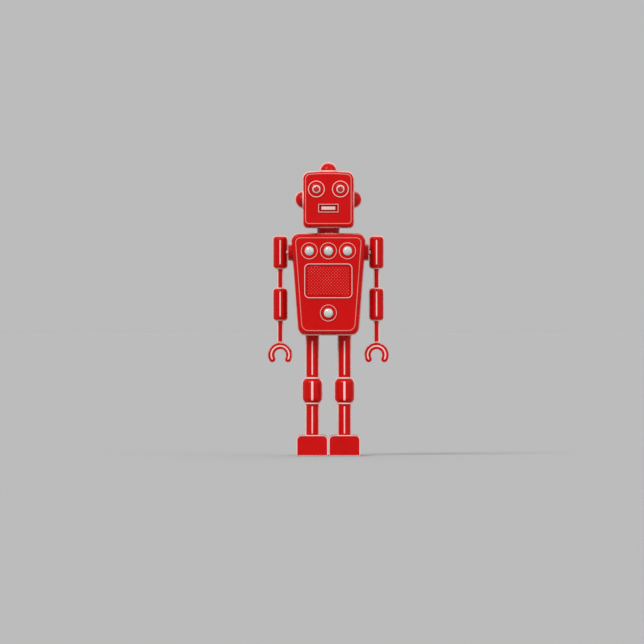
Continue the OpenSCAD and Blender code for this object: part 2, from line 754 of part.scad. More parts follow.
upper_sleeve_z = shoulder_z - sleeve_h / 2;
lower_sleeve_z = upper_sleeve_z - 42.45;
claw_z = lower_sleeve_z - 27.9;
claw_t = 5.6;
claw_pin_z = claw_z + 6;
claw_shoulder_z = claw_z + claw_r + 0.2;
rod_core = arm_rod_d / 2 - fin;

// Arm axle with the lever that the leg drives, riveted inside the upper sleeve.
module arm_axle(s) color(steel) mirror([s > 0 ? 0 : 1, 0, 0]) {
    lever = [yoke_ear_out[1] + 0.5, yoke_ear_out[1] + 0.5 + lever_t];
    head_x = arm_x - 3.9;
    translate([0, 0, shoulder_z]) {
        cyl_x(2, [lever[0], head_x + 1.2]);
        cyl_x(2.3, [head_x, head_x + 1.2]);
        cyl_x(3.5, lever);
        cyl_x(3.4, [drum_x[0] - 1.9, drum_x[0] - 1.3]);
        block(lever, [-1.6, 1.6], [-arm_lever, 0]);
    }
    translate([0, 0, hip_z + drive_r]) {
        cyl_x(1.6, lever);
        cyl_x(pin_r, [yoke_ear_out[0] - 0.2, lever[1]]);
    }
}

module upper_sleeve(s) color(red) difference() {
    translate([s * arm_x, 0, upper_sleeve_z])
        can(sleeve_d / 2, sleeve_h, 2.8, rod_core + seat, 0, arm_rod_d / 2);
    inner = arm_x - sleeve_d / 2 - 1;
    translate([0, 0, shoulder_z]) cyl_x(2 + seat, s > 0 ? [inner, inner + 3] : [-inner - 3, -inner]);
}

module lower_sleeve(s) color(red) translate([s * arm_x, 0, lower_sleeve_z])
    can(sleeve_d / 2, sleeve_h, 2.8, rod_core + seat, rod_core + seat, arm_rod_d / 2);

// The rod strings both sleeves together, and its thin end is the claw's pivot.
module arm_rod(s) color(red) translate([s * arm_x, 0, 0]) {
    cyl_z(rod_core, [claw_shoulder_z, upper_sleeve_z + sleeve_h - 2]);
    for (z = [[claw_shoulder_z, lower_sleeve_z], [lower_sleeve_z + sleeve_h, upper_sleeve_z]])
        block([-arm_rod_d / 2, arm_rod_d / 2], [-fin_t / 2, fin_t / 2], z);
    cyl_z(1.5, [claw_pin_z + 0.4, claw_shoulder_z]);
}

// The claw's outline in (x, z) round its centre, as a C that opens downwards. Its inner side
// lies a little within the bore, which is cut afterwards.
claw_outline =
    let (open = (360 - claw_wrap) / 2, a = [open - 90, 270 - open])
    let (middle_r = (claw_r + claw_grip_r) / 2, end_r = (claw_r - claw_grip_r) / 2)
    concat(
        [for (i = [0:40]) let (t = a[0] + (a[1] - a[0]) * i / 40) claw_r * [cos(t), sin(t)]],
        [for (i = [1:9]) let (t = a[1] + 18 * i)
            middle_r * [cos(a[1]), sin(a[1])] + end_r * [cos(t), sin(t)]],
        [for (i = [0:16]) let (t = a[1] + (a[0] - a[1]) * i / 16)
            (claw_grip_r - 0.8) * [cos(t), sin(t)]],
        [for (i = [1:9]) let (t = a[0] + 180 + 18 * i)
            middle_r * [cos(a[0]), sin(a[0])] + end_r * [cos(t), sin(t)]]);

module claw(s) color(red) translate([s * arm_x, 0, claw_z]) difference() {
    along_y([-claw_t / 2, claw_t / 2]) polygon(claw_outline);
    cyl_y(claw_grip_r, [-claw_t / 2 - 1, claw_t / 2 + 1]);
    translate([0, 0, -claw_z]) cyl_z(1.5 + run, [claw_pin_z, claw_shoulder_z + 1]);
}

// ---------------------------------------------------------------- legs

leg_r = leg_d / 2;
tube_top = torso_z + 3.2;
rod_r = 2;
pawl_y = -20;
pawl_z = 5;

module leg_tube(s, z) color(red) translate([s * leg_x, 0, 0]) difference() {
    union() {
        cyl_z(leg_r - fin, z);
        block([-leg_r, leg_r], [-fin_t / 2, fin_t / 2], z);
    }
    cyl_z(leg_r - fin - wall, [z[0] + wall, z[1] - wall]);
    cyl_z(rod_r + seat, [z[0] - 1, z[1] + 1]);
}

module knee_cuff(s) color(red) translate([s * leg_x, 0, knee_z])
    can(knee_d / 2, knee_h, 5.2, rod_r + seat, rod_r + seat, leg_r);

// Yoke on the hip shaft, with the drive lever above it and the tie rod that clamps the leg below.
module hip_yoke(s) color(steel) mirror([s > 0 ? 0 : 1, 0, 0]) {
    base = [tube_top, tube_top + 1.2];
    lever_top = hip_z + drive_r + 3.4;
    translate([leg_x, 0, 0]) {
        cyl_z(leg_r, base);
        cyl_z(rod_r, [foot_h - 5, base[0]]);
    }
    difference() {
        union() {
            block(yoke_ear_in, [-3, 3], [base[1], hip_z]);
            translate([0, 0, hip_z]) cyl_x(3, yoke_ear_in);
            block(yoke_ear_out, [-2.8, 2.8], [base[1], lever_top]);
        }
        translate([0, 0, hip_z]) cyl_x(1.5 + run, [0, 30]);
        block([yoke_ear_out[0] - 1, yoke_ear_out[1] + 1], [-pin_r - 0.1, pin_r + 0.1],
              [crank_z - crank_r - 1, crank_z + crank_r + 1]);
        block([yoke_ear_out[0] - 1, yoke_ear_out[1] + 1], [-pin_r - 0.2, pin_r + 0.2],
              [hip_z + drive_r - 1.2, lever_top + 1]);
    }
}

// A foot's front outline in (x, z), inset by d at the sides and top.
function foot_outline(d, low) =
    let (half = foot_w / 2 - d, top = foot_h - d)
    concat([[-half, low], [half, low]],
        corner([half, low], [half, top], [-half, top], 4 - d, 6),
        corner([half, top], [-half, top], [-half, low], 4 - d, 6));

// A wrapped sheet closed by crimped end plates that stand proud of it.
module foot_shell(s) color(red) translate([s * leg_x, 0, 0]) difference() {
    union() {
        along_y([0.5 - toe_reach, heel_reach - 0.5]) polygon(foot_outline(fin, sole_t));
        for (y = [-toe_reach, heel_reach - 1]) along_y([y, y + 1]) polygon(foot_outline(0, sole_t));
    }
    along_y([1 - toe_reach, heel_reach - 1]) polygon(foot_outline(fin + wall, sole_t - 1));
    cyl_z(rod_r + seat, [foot_h - 3, foot_h + 1]);
}

// Sole plate with the bridge that holds the tie rod and the ears of the walking pawl.
module foot_chassis(s) color(steel) translate([s * leg_x, 0, 0]) {
    bridge = [foot_h - fin - wall - 2.4, foot_h - fin - wall];
    difference() {
        union() {
            block([-foot_w / 2, foot_w / 2], [-toe_reach, heel_reach], [0, sole_t]);
            block([-8, 8], [-5, 5], bridge);
            for (x = [-8, 7.2]) block([x, x + 0.8], [-5, 5], [sole_t, bridge[0]]);
            for (x = [-3.4, 2.6]) block([x, x + 0.8], [pawl_y - 3, pawl_y + 3], [sole_t, 7.6]);
            block([-3.4, 3.4], [pawl_y - 3, pawl_y - 1.6], [7, 7.6]);
        }
        cyl_z(rod_r + seat, [foot_h - 8, foot_h + 1]);
        block([-2, 2], [pawl_y + 0.5, pawl_y + 9.8], [-1, sole_t + 1]);
        translate([0, pawl_y, pawl_z]) cyl_x(0.7 + run, [-4, 4]);
    }
}

// A free pawl whose teeth bite when the foot slides back, and trail when it slides forward.
module foot_pawl(s) color(steel) translate([s * leg_x, pawl_y, pawl_z]) {
    cyl_x(0.7, [-3.7, 3.7]);
    along_x([-1.5, 1.5]) {
        circle(1.6);
        polygon([[-2.6, 0.6], [-0.9, -1.5], [3.4, -3.9], [4.6, -4.7], [5.2, -4.1], [6.4, -4.7],
                 [7, -4.1], [8.4, -4.7], [8.2, -2.4], [0.8, 1.5], [-1.2, 1.6], [-2.6, 1.6]]);
    }
}

// ---------------------------------------------------------------- nodes

torso_front_shell();
torso_back_shell();
grille_frame();
grille_plate();
chest_dial_bezels();
chest_dial_lenses();
belly_bezel();
neck_collar();
shoulder_bushes();
hip_bracket();
hip_shaft();
movement_front_plate();
movement_back_plate();
movement_pillars();
mainspring();
movement_fasteners();
stop_button();
brake_pad();
button_spring();
winding_key();
winding_arbor();
great_wheel();
ratchet_wheel();
ratchet_click();
crown_wheel();
crankshaft();
governor_wheel();
governor_fly();
head_front_shell();
head_back_shell();
head_domes();
eye_bezels();
eye_lenses();
mouth_frame();
mouth_plate();
neck_rivet();
arm_axle(LEFT);  // left_arm_axle
upper_sleeve(LEFT);  // left_upper_sleeve
lower_sleeve(LEFT);  // left_lower_sleeve
arm_rod(LEFT);  // left_arm_rod
claw(LEFT);  // left_claw
arm_axle(RIGHT);  // right_arm_axle
upper_sleeve(RIGHT);  // right_upper_sleeve
lower_sleeve(RIGHT);  // right_lower_sleeve
arm_rod(RIGHT);  // right_arm_rod
claw(RIGHT);  // right_claw
leg_tube(LEFT, [thigh_z, tube_top]);  // left_leg_upper
knee_cuff(LEFT);  // left_knee_cuff
leg_tube(LEFT, [foot_h - fin, knee_z]);  // left_leg_lower
hip_yoke(LEFT);  // left_hip_yoke
foot_shell(LEFT);  // left_foot_shell
foot_chassis(LEFT);  // left_foot_chassis
foot_pawl(LEFT);  // left_foot_pawl
leg_tube(RIGHT, [thigh_z, tube_top]);  // right_leg_upper
knee_cuff(RIGHT);  // right_knee_cuff
leg_tube(RIGHT, [foot_h - fin, knee_z]);  // right_leg_lower
hip_yoke(RIGHT);  // right_hip_yoke
foot_shell(RIGHT);  // right_foot_shell
foot_chassis(RIGHT);  // right_foot_chassis
foot_pawl(RIGHT);  // right_foot_pawl
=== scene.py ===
"""Looks of the tin wind-up robot. Lengths are in millimetres until a mesh is made."""
import math

import bmesh
import bpy
from mathutils import Matrix, Vector


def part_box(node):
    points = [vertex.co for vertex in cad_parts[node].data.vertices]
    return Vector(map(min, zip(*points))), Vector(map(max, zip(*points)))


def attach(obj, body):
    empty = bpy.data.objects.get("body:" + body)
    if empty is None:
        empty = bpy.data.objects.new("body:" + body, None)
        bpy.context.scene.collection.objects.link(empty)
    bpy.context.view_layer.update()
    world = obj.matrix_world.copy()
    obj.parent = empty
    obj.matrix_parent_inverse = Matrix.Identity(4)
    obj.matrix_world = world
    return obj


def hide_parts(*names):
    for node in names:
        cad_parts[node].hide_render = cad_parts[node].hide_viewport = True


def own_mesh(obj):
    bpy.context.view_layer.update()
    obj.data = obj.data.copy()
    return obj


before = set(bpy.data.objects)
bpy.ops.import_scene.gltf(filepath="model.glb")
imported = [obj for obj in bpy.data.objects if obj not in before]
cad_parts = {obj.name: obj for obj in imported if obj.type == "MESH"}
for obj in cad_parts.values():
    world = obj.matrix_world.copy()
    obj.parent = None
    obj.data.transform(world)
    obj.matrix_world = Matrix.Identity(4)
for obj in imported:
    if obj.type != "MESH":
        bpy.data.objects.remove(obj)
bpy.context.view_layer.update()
scene = bpy.context.scene
MM = 0.001
SIDES = (("left", 1), ("right", -1))


def box(node):
    """Lowest and highest corner of a CAD node at rest."""
    lo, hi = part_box(node)
    return lo / MM, hi / MM


# ---------------------------------------------------------------- camera

FIELD = 526.7          # width seen at the robot
AIM_X, AIM_Z = -5.2, 109.3
LENS = 600.0
SENSOR = 36.0
camera = bpy.data.objects.new("camera", bpy.data.cameras.new("camera"))
scene.collection.objects.link(camera)
camera.data.lens = LENS
camera.data.sensor_width = SENSOR
camera.data.clip_start = 0.1
camera.data.clip_end = 500
camera.location = (AIM_X * MM, -FIELD * LENS / SENSOR * MM, AIM_Z * MM)
camera.rotation_euler = (math.pi / 2, 0, 0)
scene.camera = camera


# ---------------------------------------------------------------- materials

class Nodes:
    """A small builder for procedural materials."""

    def __init__(self, name):
        self.material = bpy.data.materials.new(name)
        self.material.use_nodes = True
        self.tree = self.material.node_tree
        self.shader = self.tree.nodes["Principled BSDF"]
        self.coords = self.tree.nodes.new("ShaderNodeTexCoord").outputs["Object"]

    def plug(self, socket, value):
        """Links a socket to another one, or sets it to a plain value."""
        if isinstance(value, bpy.types.NodeSocket):
            self.tree.links.new(value, socket)
        else:
            socket.default_value = value

    def node(self, kind, inputs, **settings):
        n = self.tree.nodes.new(kind)
        for key, value in settings.items():
            setattr(n, key, value)
        for key, value in inputs.items():
            self.plug(n.inputs[key], value)
        return n

    def noise(self, scale, detail, rough, stretch=None):
        where = self.coords
        if stretch:
            where = self.node("ShaderNodeMapping", {"Vector": where, "Scale": stretch}).outputs[0]
        return self.node("ShaderNodeTexNoise", {"Vector": where, "Scale": scale, "Detail": detail,
                                                "Roughness": rough}).outputs["Fac"]

    def remap(self, value, a, b, to_a=0.0, to_b=1.0):
        return self.node("ShaderNodeMapRange", {"Value": value, "From Min": a, "From Max": b,
                                                "To Min": to_a, "To Max": to_b}).outputs[0]

    def math(self, op, a, b):
        return self.node("ShaderNodeMath", {0: a, 1: b}, operation=op).outputs[0]

    def mix(self, factor, a, b):
        """Mixes two colours, each given as a socket or as (r, g, b)."""
        n = self.node("ShaderNodeMix", {0: factor}, data_type="RGBA")
        for i, colour in ((6, a), (7, b)):
            self.plug(n.inputs[i], (*colour, 1) if isinstance(colour, tuple) else colour)
        return n.outputs[2]

    def bump(self, *layers):
        """Stacks layers of (height, strength, distance)."""
        normal = None
        for height, strength, distance in layers:
            inputs = {"Height": height, "Strength": strength, "Distance": distance * MM}
            if normal is not None:
                inputs["Normal"] = normal
            normal = self.node("ShaderNodeBump", inputs).outputs[0]
        return normal

    def set(self, **inputs):
        for key, value in inputs.items():
            self.plug(self.shader.inputs[key.replace("_", " ")], value)


def printed_tin(name, colour, deep, rough, wear=1.0):
    """Lithographed tin: ink with slight mottling under varnish, rubbed through on tight bends."""
    n = Nodes(name)
    mottle = n.remap(n.noise(38, 5, 0.55), 0.32, 0.68)
    ink = n.mix(mottle, colour, deep)
    specks = n.remap(n.noise(1500, 3, 0.6), 0.70, 0.76)
    ink = n.mix(n.math("MULTIPLY", specks, 0.35), ink, deep)
    edge = n.node("ShaderNodeAttribute", {}, attribute_name="wear").outputs["Fac"]
    edge = n.math("MULTIPLY", edge, n.remap(n.noise(45, 3, 0.6), 0.35, 0.65, 0.15, 0.5))
    rub = n.remap(n.math("ADD", edge, n.noise(330, 6, 0.7)), 0.90, 1.02, 0.0, 0.6 * wear)
    grime = n.math("MULTIPLY", n.remap(n.noise(150, 6, 0.65), 0.56, 0.80), 0.16)
    ink = n.mix(grime, ink, tuple(0.45 * c for c in deep))
    n.set(Base_Color=n.mix(rub, ink, TIN), Metallic=n.math("MULTIPLY", rub, 0.5))
    smears = n.remap(n.noise(90, 6, 0.6, (1, 1, 0.35)), 0.3, 0.7, rough - 0.07, rough + 0.09)
    n.set(Roughness=n.math("ADD", smears, n.math("MULTIPLY", rub, 0.2)))
    n.set(Normal=n.bump((n.noise(34, 2, 0.4), 0.16, 0.5), (n.noise(900, 2, 0.5), 0.12, 0.02),
                        (n.noise(2600, 2, 0.5), 0.05, 0.01)))
    n.set(Specular_IOR_Level=0.10, Coat_Weight=0.05, Coat_Roughness=0.18)
    return n.material


def metal(name, colour, dark, rough, stretch, grain=0.12):
    """Bare metal with a brushed or rolled grain, slight tarnish and small pits."""
    n = Nodes(name)
    cloud = n.remap(n.noise(70, 6, 0.6), 0.38, 0.72, 0.0, 0.5)
    brushed = n.noise(300, 5, 0.6, stretch)
    tone = n.mix(n.remap(brushed, 0.3, 0.7, 0.0, 0.3), colour, dark)
    pits = n.noise(1300, 3, 0.6)
    tone = n.mix(n.remap(pits, 0.68, 0.74, 0.0, 0.5), n.mix(cloud, tone, dark),
                 tuple(0.5 * c for c in dark))
    n.set(Base_Color=tone, Metallic=1.0, Specular_IOR_Level=0.5)
    n.set(Roughness=n.math("ADD", n.remap(brushed, 0.25, 0.75, rough - 0.06, rough + 0.1),
                           n.math("MULTIPLY", cloud, 0.3)))
    n.set(Normal=n.bump((brushed, grain, 0.03), (pits, 0.08, 0.03)))
    return n.material


def glassy(name, colour, deep, rough, transmission, depth):
    """Moulded coloured glass or celluloid: cloudy inside, smooth outside, with fine scratches."""
    n = Nodes(name)
    cloud = n.remap(n.noise(260, 5, 0.6), 0.3, 0.7)
    n.set(Base_Color=n.mix(cloud, colour, deep), Specular_IOR_Level=0.5, Coat_Weight=0.6,
          Coat_Roughness=0.06, IOR=1.49, Subsurface_Weight=depth, Subsurface_Scale=0.8 * MM,
          Transmission_Weight=transmission)
    scratches = n.noise(2400, 4, 0.65, (1, 1, 0.08))
    n.set(Roughness=n.remap(scratches, 0.3, 0.7, rough - 0.04, rough + 0.08))
    n.set(Normal=n.bump((n.noise(500, 3, 0.5), 0.05, 0.05), (scratches, 0.04, 0.01)))
    return n.material


def rubber(name, colour, deep):
    """Matt rubber with a fine grain and a chalky bloom."""
    n = Nodes(name)
    bloom = n.remap(n.noise(500, 6, 0.65), 0.35, 0.7)
    n.set(Base_Color=n.mix(bloom, colour, deep), Specular_IOR_Level=0.25)
    n.set(Roughness=n.remap(bloom, 0, 1, 0.62, 0.86))
    n.set(Normal=n.bump((n.noise(3000, 3, 0.6), 0.3, 0.03)))
    return n.material


TIN = (0.60, 0.57, 0.53)
RED = printed_tin("red_print", (0.590, 0.0030, 0.0032), (0.530, 0.0026, 0.0028), 0.34)
DEEP = printed_tin("deep_red_print", (0.33, 0.0035, 0.004), (0.26, 0.003, 0.003), 0.42, 0.5)
CREAM = printed_tin("cream_print", (0.93, 0.64, 0.585), (0.86, 0.565, 0.515), 0.36, 0.55)
ROSE = printed_tin("rose_print", (0.80, 0.31, 0.27), (0.73, 0.26, 0.225), 0.36, 0.5)
SALMON = printed_tin("salmon_print", (0.82, 0.115, 0.095), (0.75, 0.095, 0.08), 0.36, 0.3)
WHITE = printed_tin("white_print", (0.84, 0.52, 0.50), (0.77, 0.46, 0.44), 0.33, 0.4)
BARE = metal("bare_tin", (0.72, 0.70, 0.67), (0.50, 0.48, 0.45), 0.30, (1, 1, 0.15), 0.08)
STEEL = metal("plated_steel", (0.74, 0.75, 0.77), (0.47, 0.48, 0.50), 0.24, (1, 0.12, 1))
SPRING = metal("blued_spring", (0.17, 0.21, 0.31), (0.08, 0.09, 0.14), 0.28, (1, 1, 0.2), 0.06)
BRASS = metal("rolled_brass", (0.86, 0.62, 0.28), (0.50, 0.33, 0.13), 0.26, (1, 0.2, 1))
LENS_MILK = glassy("milky_lens", (0.62, 0.67, 0.65), (0.53, 0.59, 0.57), 0.16, 0.06, 0.35)
LENS_RING = printed_tin("pale_lens_ring", (0.90, 0.56, 0.50), (0.84, 0.50, 0.45), 0.26, 0.2)
LENS_RED = glassy("red_lens", (0.56, 0.004, 0.005), (0.40, 0.003, 0.004), 0.12, 0.10, 0.2)
PAD = rubber("black_rubber", (0.030, 0.029, 0.028), (0.075, 0.072, 0.069))


# ---------------------------------------------------------------- curves and outlines

def arc(r, a0, a1, n, centre=(0.0, 0.0)):
    """Points of an arc of radius r, from angle a0 to a1 in radians."""
    angles = [a0 + (a1 - a0) * i / n for i in range(n + 1)]
    return [(centre[0] + r * math.cos(a), centre[1] + r * math.sin(a)) for a in angles]


def bend(r, n):
    """A quarter bend of radius r, as (distance from one side, distance from the other)."""
    angles = [math.pi / 2 * i / n for i in range(n + 1)]
    return [(r * (1 - math.sin(a)), r * (1 - math.cos(a))) for a in angles]


def corner(a, b, c, r, n):
    """Points of one rounded corner at b, between neighbours a and c."""
    a, b, c = Vector(a), Vector(b), Vector(c)
    to_a, to_c = (a - b).normalized(), (c - b).normalized()
    half = math.acos(max(-1.0, min(1.0, to_a.dot(to_c)))) / 2
    middle = b + (to_a + to_c).normalized() * (r / math.sin(half))
    first = b + to_a * (r / math.tan(half)) - middle
    start = math.atan2(first.y, first.x)
    turn = 1 if (b - a).x * (c - b).y - (b - a).y * (c - b).x > 0 else -1
    return arc(r, start, start + turn * (math.pi - 2 * half), n, middle)


def rounded(p, n=12):
    """Rounds a closed outline, given anticlockwise as (x, z, radius)."""
    out = []
    for i, b in enumerate(p):
        a, c = p[i - 1], p[(i + 1) % len(p)]
        out += corner(a[:2], b[:2], c[:2], max(b[2], 0.02), n)
    return out


def rectangle(w, h, r, x=0.0, z=0.0):
    """A rounded rectangle, as an outline function of the inset d."""
    def outline(d):
        a, b = w / 2 - d, h / 2 - d
        return rounded([(x + a, z - b, r - d), (x + a, z + b, r - d), (x - a, z + b, r - d),
                        (x - a, z - b, r - d)])
    return outline


# ---------------------------------------------------------------- mesh building

class Build:
    """Collects points and faces, each face with the number of its material."""

    def __init__(self):
        self.points, self.faces, self.mats = [], [], []

    def face(self, corners, mat=0):
        self.faces.append(tuple(corners))
        self.mats.append(mat)

    def rings(self, rings, mat=0, loop=False, caps=(True, True)):
        """Joins closed rings of equally many points, in order. A list as mat has one per ring."""
        rows = []
        for ring in rings:
            start = len(self.points)
            self.points += [tuple(p) for p in ring]
            rows.append(list(range(start, len(self.points))))
        pairs = list(zip(rows, rows[1:])) + ([(rows[-1], rows[0])] if loop else [])
        k = len(rows[0])
        mats = mat if isinstance(mat, list) else [mat] * len(rows)
        for (low, high), m in zip(pairs, mats):
            for j in range(k):
                n = (j + 1) % k
                self.face((low[j], high[j], high[n], low[n]), m)
        if not loop and caps[0]:
            self.face(rows[0], mats[0])
        if not loop and caps[1]:
            self.face(rows[-1], mats[-1])
        return rows

    def lathe(self, profile, axis="z", centre=(0, 0, 0), n=64, loop=False, mat=0, side=1):
        """Turns a profile of (radius, distance along the axis)."""
        rings = []
        for r, h in profile:
            ring = []
            for i in range(n):
                c, s = r * math.cos(2 * math.pi * i / n), r * math.sin(2 * math.pi * i / n)
                p = {"z": (c, s, h * side), "y": (c, h * side, s), "x": (h * side, c, s)}[axis]
                ring.append(tuple(a + b for a, b in zip(p, centre)))
            rings.append(ring)
        self.rings(rings, mat, loop)

    def outline_rings(self, outline, section, mat=0, loop=True, caps=(True, True)):
        """Sweeps a cross-section of (inset, y) round an outline in the XZ plane."""
        self.rings([[(x, y, z) for x, z in outline(d)] for d, y in section], mat, loop, caps)

    def bead(self, outline, inset, half_w, height, y0, side):
        """A fine raised line on the face at y0, along an outline moved inwards by inset."""
        steps, sunk = 8, 0.25
        section = [(inset + half_w * math.cos(math.pi * i / steps),
                    y0 + side * height * math.sin(math.pi * i / steps)) for i in range(steps + 1)]
        section += [(inset - half_w, y0 - side * sunk), (inset + half_w, y0 - side * sunk)]
        self.outline_rings(outline, section)

    def seam(self, outline, depth, half_t, mat=0, band=0.7, inner=0):
        """A crimped seam: two folded edges side by side with a fine groove between them. Its
        faces carry the material mat on a band along the edge, and inner further in."""
        e = min(0.28, half_t * 0.6)
        half = [(depth, half_t), (min(band, depth - 0.05), half_t), (e, half_t),
                (0.35 * e, half_t - 0.12 * e), (0.0, half_t - e * 0.7), (0.0, 0.10), (0.14, 0.0)]
        section = half + [(d, -y) for d, y in half[-2::-1]]
        mats = [mat] * len(section)
        mats[0] = mats[len(section) - 2] = mats[-1] = inner
        self.outline_rings(outline, section, mats)

    def puck(self, outline, y0, y1, r, mat=0):
        """A plate from y0 to the visible face y1 in front of it, with a rounded edge."""
        section = [(0.0, y0)] + [(d, y1 + back) for back, d in bend(r, 4)]
        self.outline_rings(outline, section, mat, loop=False)

    def stripe(self, x0, surface, z0, z1, w, height, side):
        """A raised stripe that runs down a turned surface of radius surface(z)."""
        end = w / 2
        sunk = 0.25
        rows = [z0 + end * (1 - math.cos(math.pi / 2 * i / 7)) for i in range(8)]
        straight = [z0 + end + (z1 - z0 - 2 * end) * i / 10 for i in range(1, 10)]
        rows = rows + straight + [z0 + z1 - z for z in reversed(rows)]
        rings = []
        for z in rows:
            past = max(0.0, end - min(z - z0, z1 - z))
            half_w = max(0.04, math.sqrt(max(0.0, end * end - past * past)))
            rise = height * min(1.0, (half_w / end) * 1.2)
            ring = []
            for i in range(11):
                t = -1 + 2 * i / 10
                x = half_w * t
                y = math.sqrt(max(0.01, surface(z) ** 2 - x * x)) + rise * (1 - t ** 4) ** 0.5
                ring.append((x0 + x, side * y, z))
            for t in (0.9, -0.9):
                x = half_w * t
                ring.append((x0 + x, side * (math.sqrt(surface(z) ** 2 - x * x) - sunk), z))
            rings.append(ring)
        self.rings(rings, 1)

    def pip(self, x, y, z, r, height):
        """A small rounded point raised towards the front."""
        profile = [(r, -0.15), (r, 0.0), (r * 0.86, height * 0.5), (r * 0.55, height * 0.86),
                   (r * 0.18, height)]
        self.lathe(profile, "y", (x, y, z), 12, side=-1)

    def block(self, x, y, z, mat=0):
        self.rings([[(x[0], depth, z[0]), (x[1], depth, z[0]), (x[1], depth, z[1]),
                     (x[0], depth, z[1])] for depth in y], mat)

    def weld(self):
        """Joins points that lie on one another, so that a form made of several sheets is closed."""
        seen, new, where = {}, [], []
        for p in self.points:
            key = tuple(round(c, 4) for c in p)
            if key not in seen:
                seen[key] = len(new)
                new.append(p)
            where.append(seen[key])
        self.points = new
        self.faces = [tuple(where[i] for i in f) for f in self.faces]


def to_object(name, build, materials):
    mesh = bpy.data.meshes.new(name)
    mesh.from_pydata([Vector(p) * MM for p in build.points], [], build.faces)
    for m in materials:
        mesh.materials.append(m)
    mesh.polygons.foreach_set("material_index", build.mats)
    bm = bmesh.new()
    bm.from_mesh(mesh)
    bmesh.ops.recalc_face_normals(bm, faces=bm.faces)
    bm.to_mesh(mesh)
    bm.free()
    obj = bpy.data.objects.new(name, mesh)
    scene.collection.objects.link(obj)
    return obj


def cut(obj, cutters):
    """Takes the cutters out of the object, exactly."""
    for i, build in enumerate(cutters):
        cutter = to_object(f"cutter_{i}", build, [obj.data.materials[0]])
        mod = obj.modifiers.new("cut", "BOOLEAN")
        mod.operation, mod.solver, mod.object = "DIFFERENCE", "EXACT", cutter
        mod.use_self = True
        bpy.context.view_layer.update()
        mesh = bpy.data.meshes.new_from_object(
            obj.evaluated_get(bpy.context.evaluated_depsgraph_get()))
        obj.modifiers.clear()
        old, obj.data = obj.data, mesh
        bpy.data.meshes.remove(old)
        bpy.data.objects.remove(cutter)


SHARP = math.radians(32)   # a bend tighter than this stays a sharp edge
NARROW = 1.5               # an edge between faces wider than this doesn't wear


def finish_mesh(obj):
    """Smooth faces, sharp real edges, weighted normals, and a measure of wear on tight bends."""
    mesh = obj.data
    bm = bmesh.new()
    bm.from_mesh(mesh)
    bmesh.ops.remove_doubles(bm, verts=bm.verts, dist=0.0004 * MM)
    layer = bm.verts.layers.float.new("wear")
    size = {}
    for face in bm.faces:
        face.smooth = True
        size[face] = face.calc_area() / MM ** 2
    for edge in bm.edges:
        angle = edge.calc_face_angle_signed(0.0) if len(edge.link_faces) == 2 else 0.0
        edge.smooth = abs(angle) < SHARP
        length = edge.calc_length() / MM
        if angle <= 0 or length <= 0:
            continue
        across = [size[face] / length for face in edge.link_faces]
        if max(across) < NARROW:
            degrees_per_mm = math.degrees(angle) / max(0.05, sum(across) / 2)
            worn = min(1.0, max(0.0, (degrees_per_mm - 16) / 40))
            for vert in edge.verts:
                vert[layer] = max(vert[layer], worn)
    bm.to_mesh(mesh)
    bm.free()
    obj.modifiers.new("weighted normals", "WEIGHTED_NORMAL").keep_sharp = True


def make(name, build, materials, body, replaces=(), cutters=()):
    """Makes a piece that rides on a body, and stands for the CAD nodes that it replaces."""
    obj = to_object(name, build, materials)
    cut(obj, cutters)
    finish_mesh(obj)
    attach(obj, body)
    if replaces:
        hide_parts(*replaces)
    return obj


def cylinder(axis, r, centre, low, high, n=64):
    b = Build()
    b.lathe([(r, low), (r, high)], axis, centre, n)
    return b


def block(x, y, z):
    b = Build()
    b.block(x, y, z)
    return b


def prism(outline, y0, y1):
    b = Build()
    b.outline_rings(outline, [(0.0, y0), (0.0, y1)], loop=False)
    return b


# ---------------------------------------------------------------- sheet, seam and fitting sizes

QUARTER = math.pi / 2
WALL = 0.6             # tin sheet
LIP = 1.1              # how far the seam of the head and torso stands proud
LIP_HALF = 0.7         # half of its thickness
FIN = 0.85             # the same for the limbs
FIN_HALF = 0.4
ROOT = 0.2             # how far a head or torso seam reaches in behind the sheet's outside
LENS_R = 3.65
LENS_RISE = 1.4
FITTING_R = 4.5        # hole in the sheet for a dial, an eye or the button
TIE_R = 2.02           # bore round a leg's tie rod


def skin(outline, y_face, edge):
    """One pressed half: outside, inside and the rim between them. Materials: outside 0, inside 1."""
    b = Build()
    side = 1 if y_face > 0 else -1

    def section(inset, y, r):
        return [(inset + d, y - side * back) for d, back in bend(r, 8)] + [(inset, 0.0)]

    open_end = {"loop": False, "caps": (True, False)}
    b.outline_rings(outline, section(LIP, y_face, edge), 0, **open_end)
    b.outline_rings(outline, section(LIP + WALL, y_face - side * WALL, edge - WALL), 1, **open_end)
    b.outline_rings(outline, [(LIP, 0.0), (LIP + WALL, 0.0)], 0, loop=False, caps=(False, False))
    b.weld()
    return b


def seam_of(outline):
    """The seam round a head or torso: pale at its edge and red further in."""
    b = Build()
    b.seam(outline, LIP + ROOT, LIP_HALF, 0, 0.8, 1)
    return b


# ---------------------------------------------------------------- torso

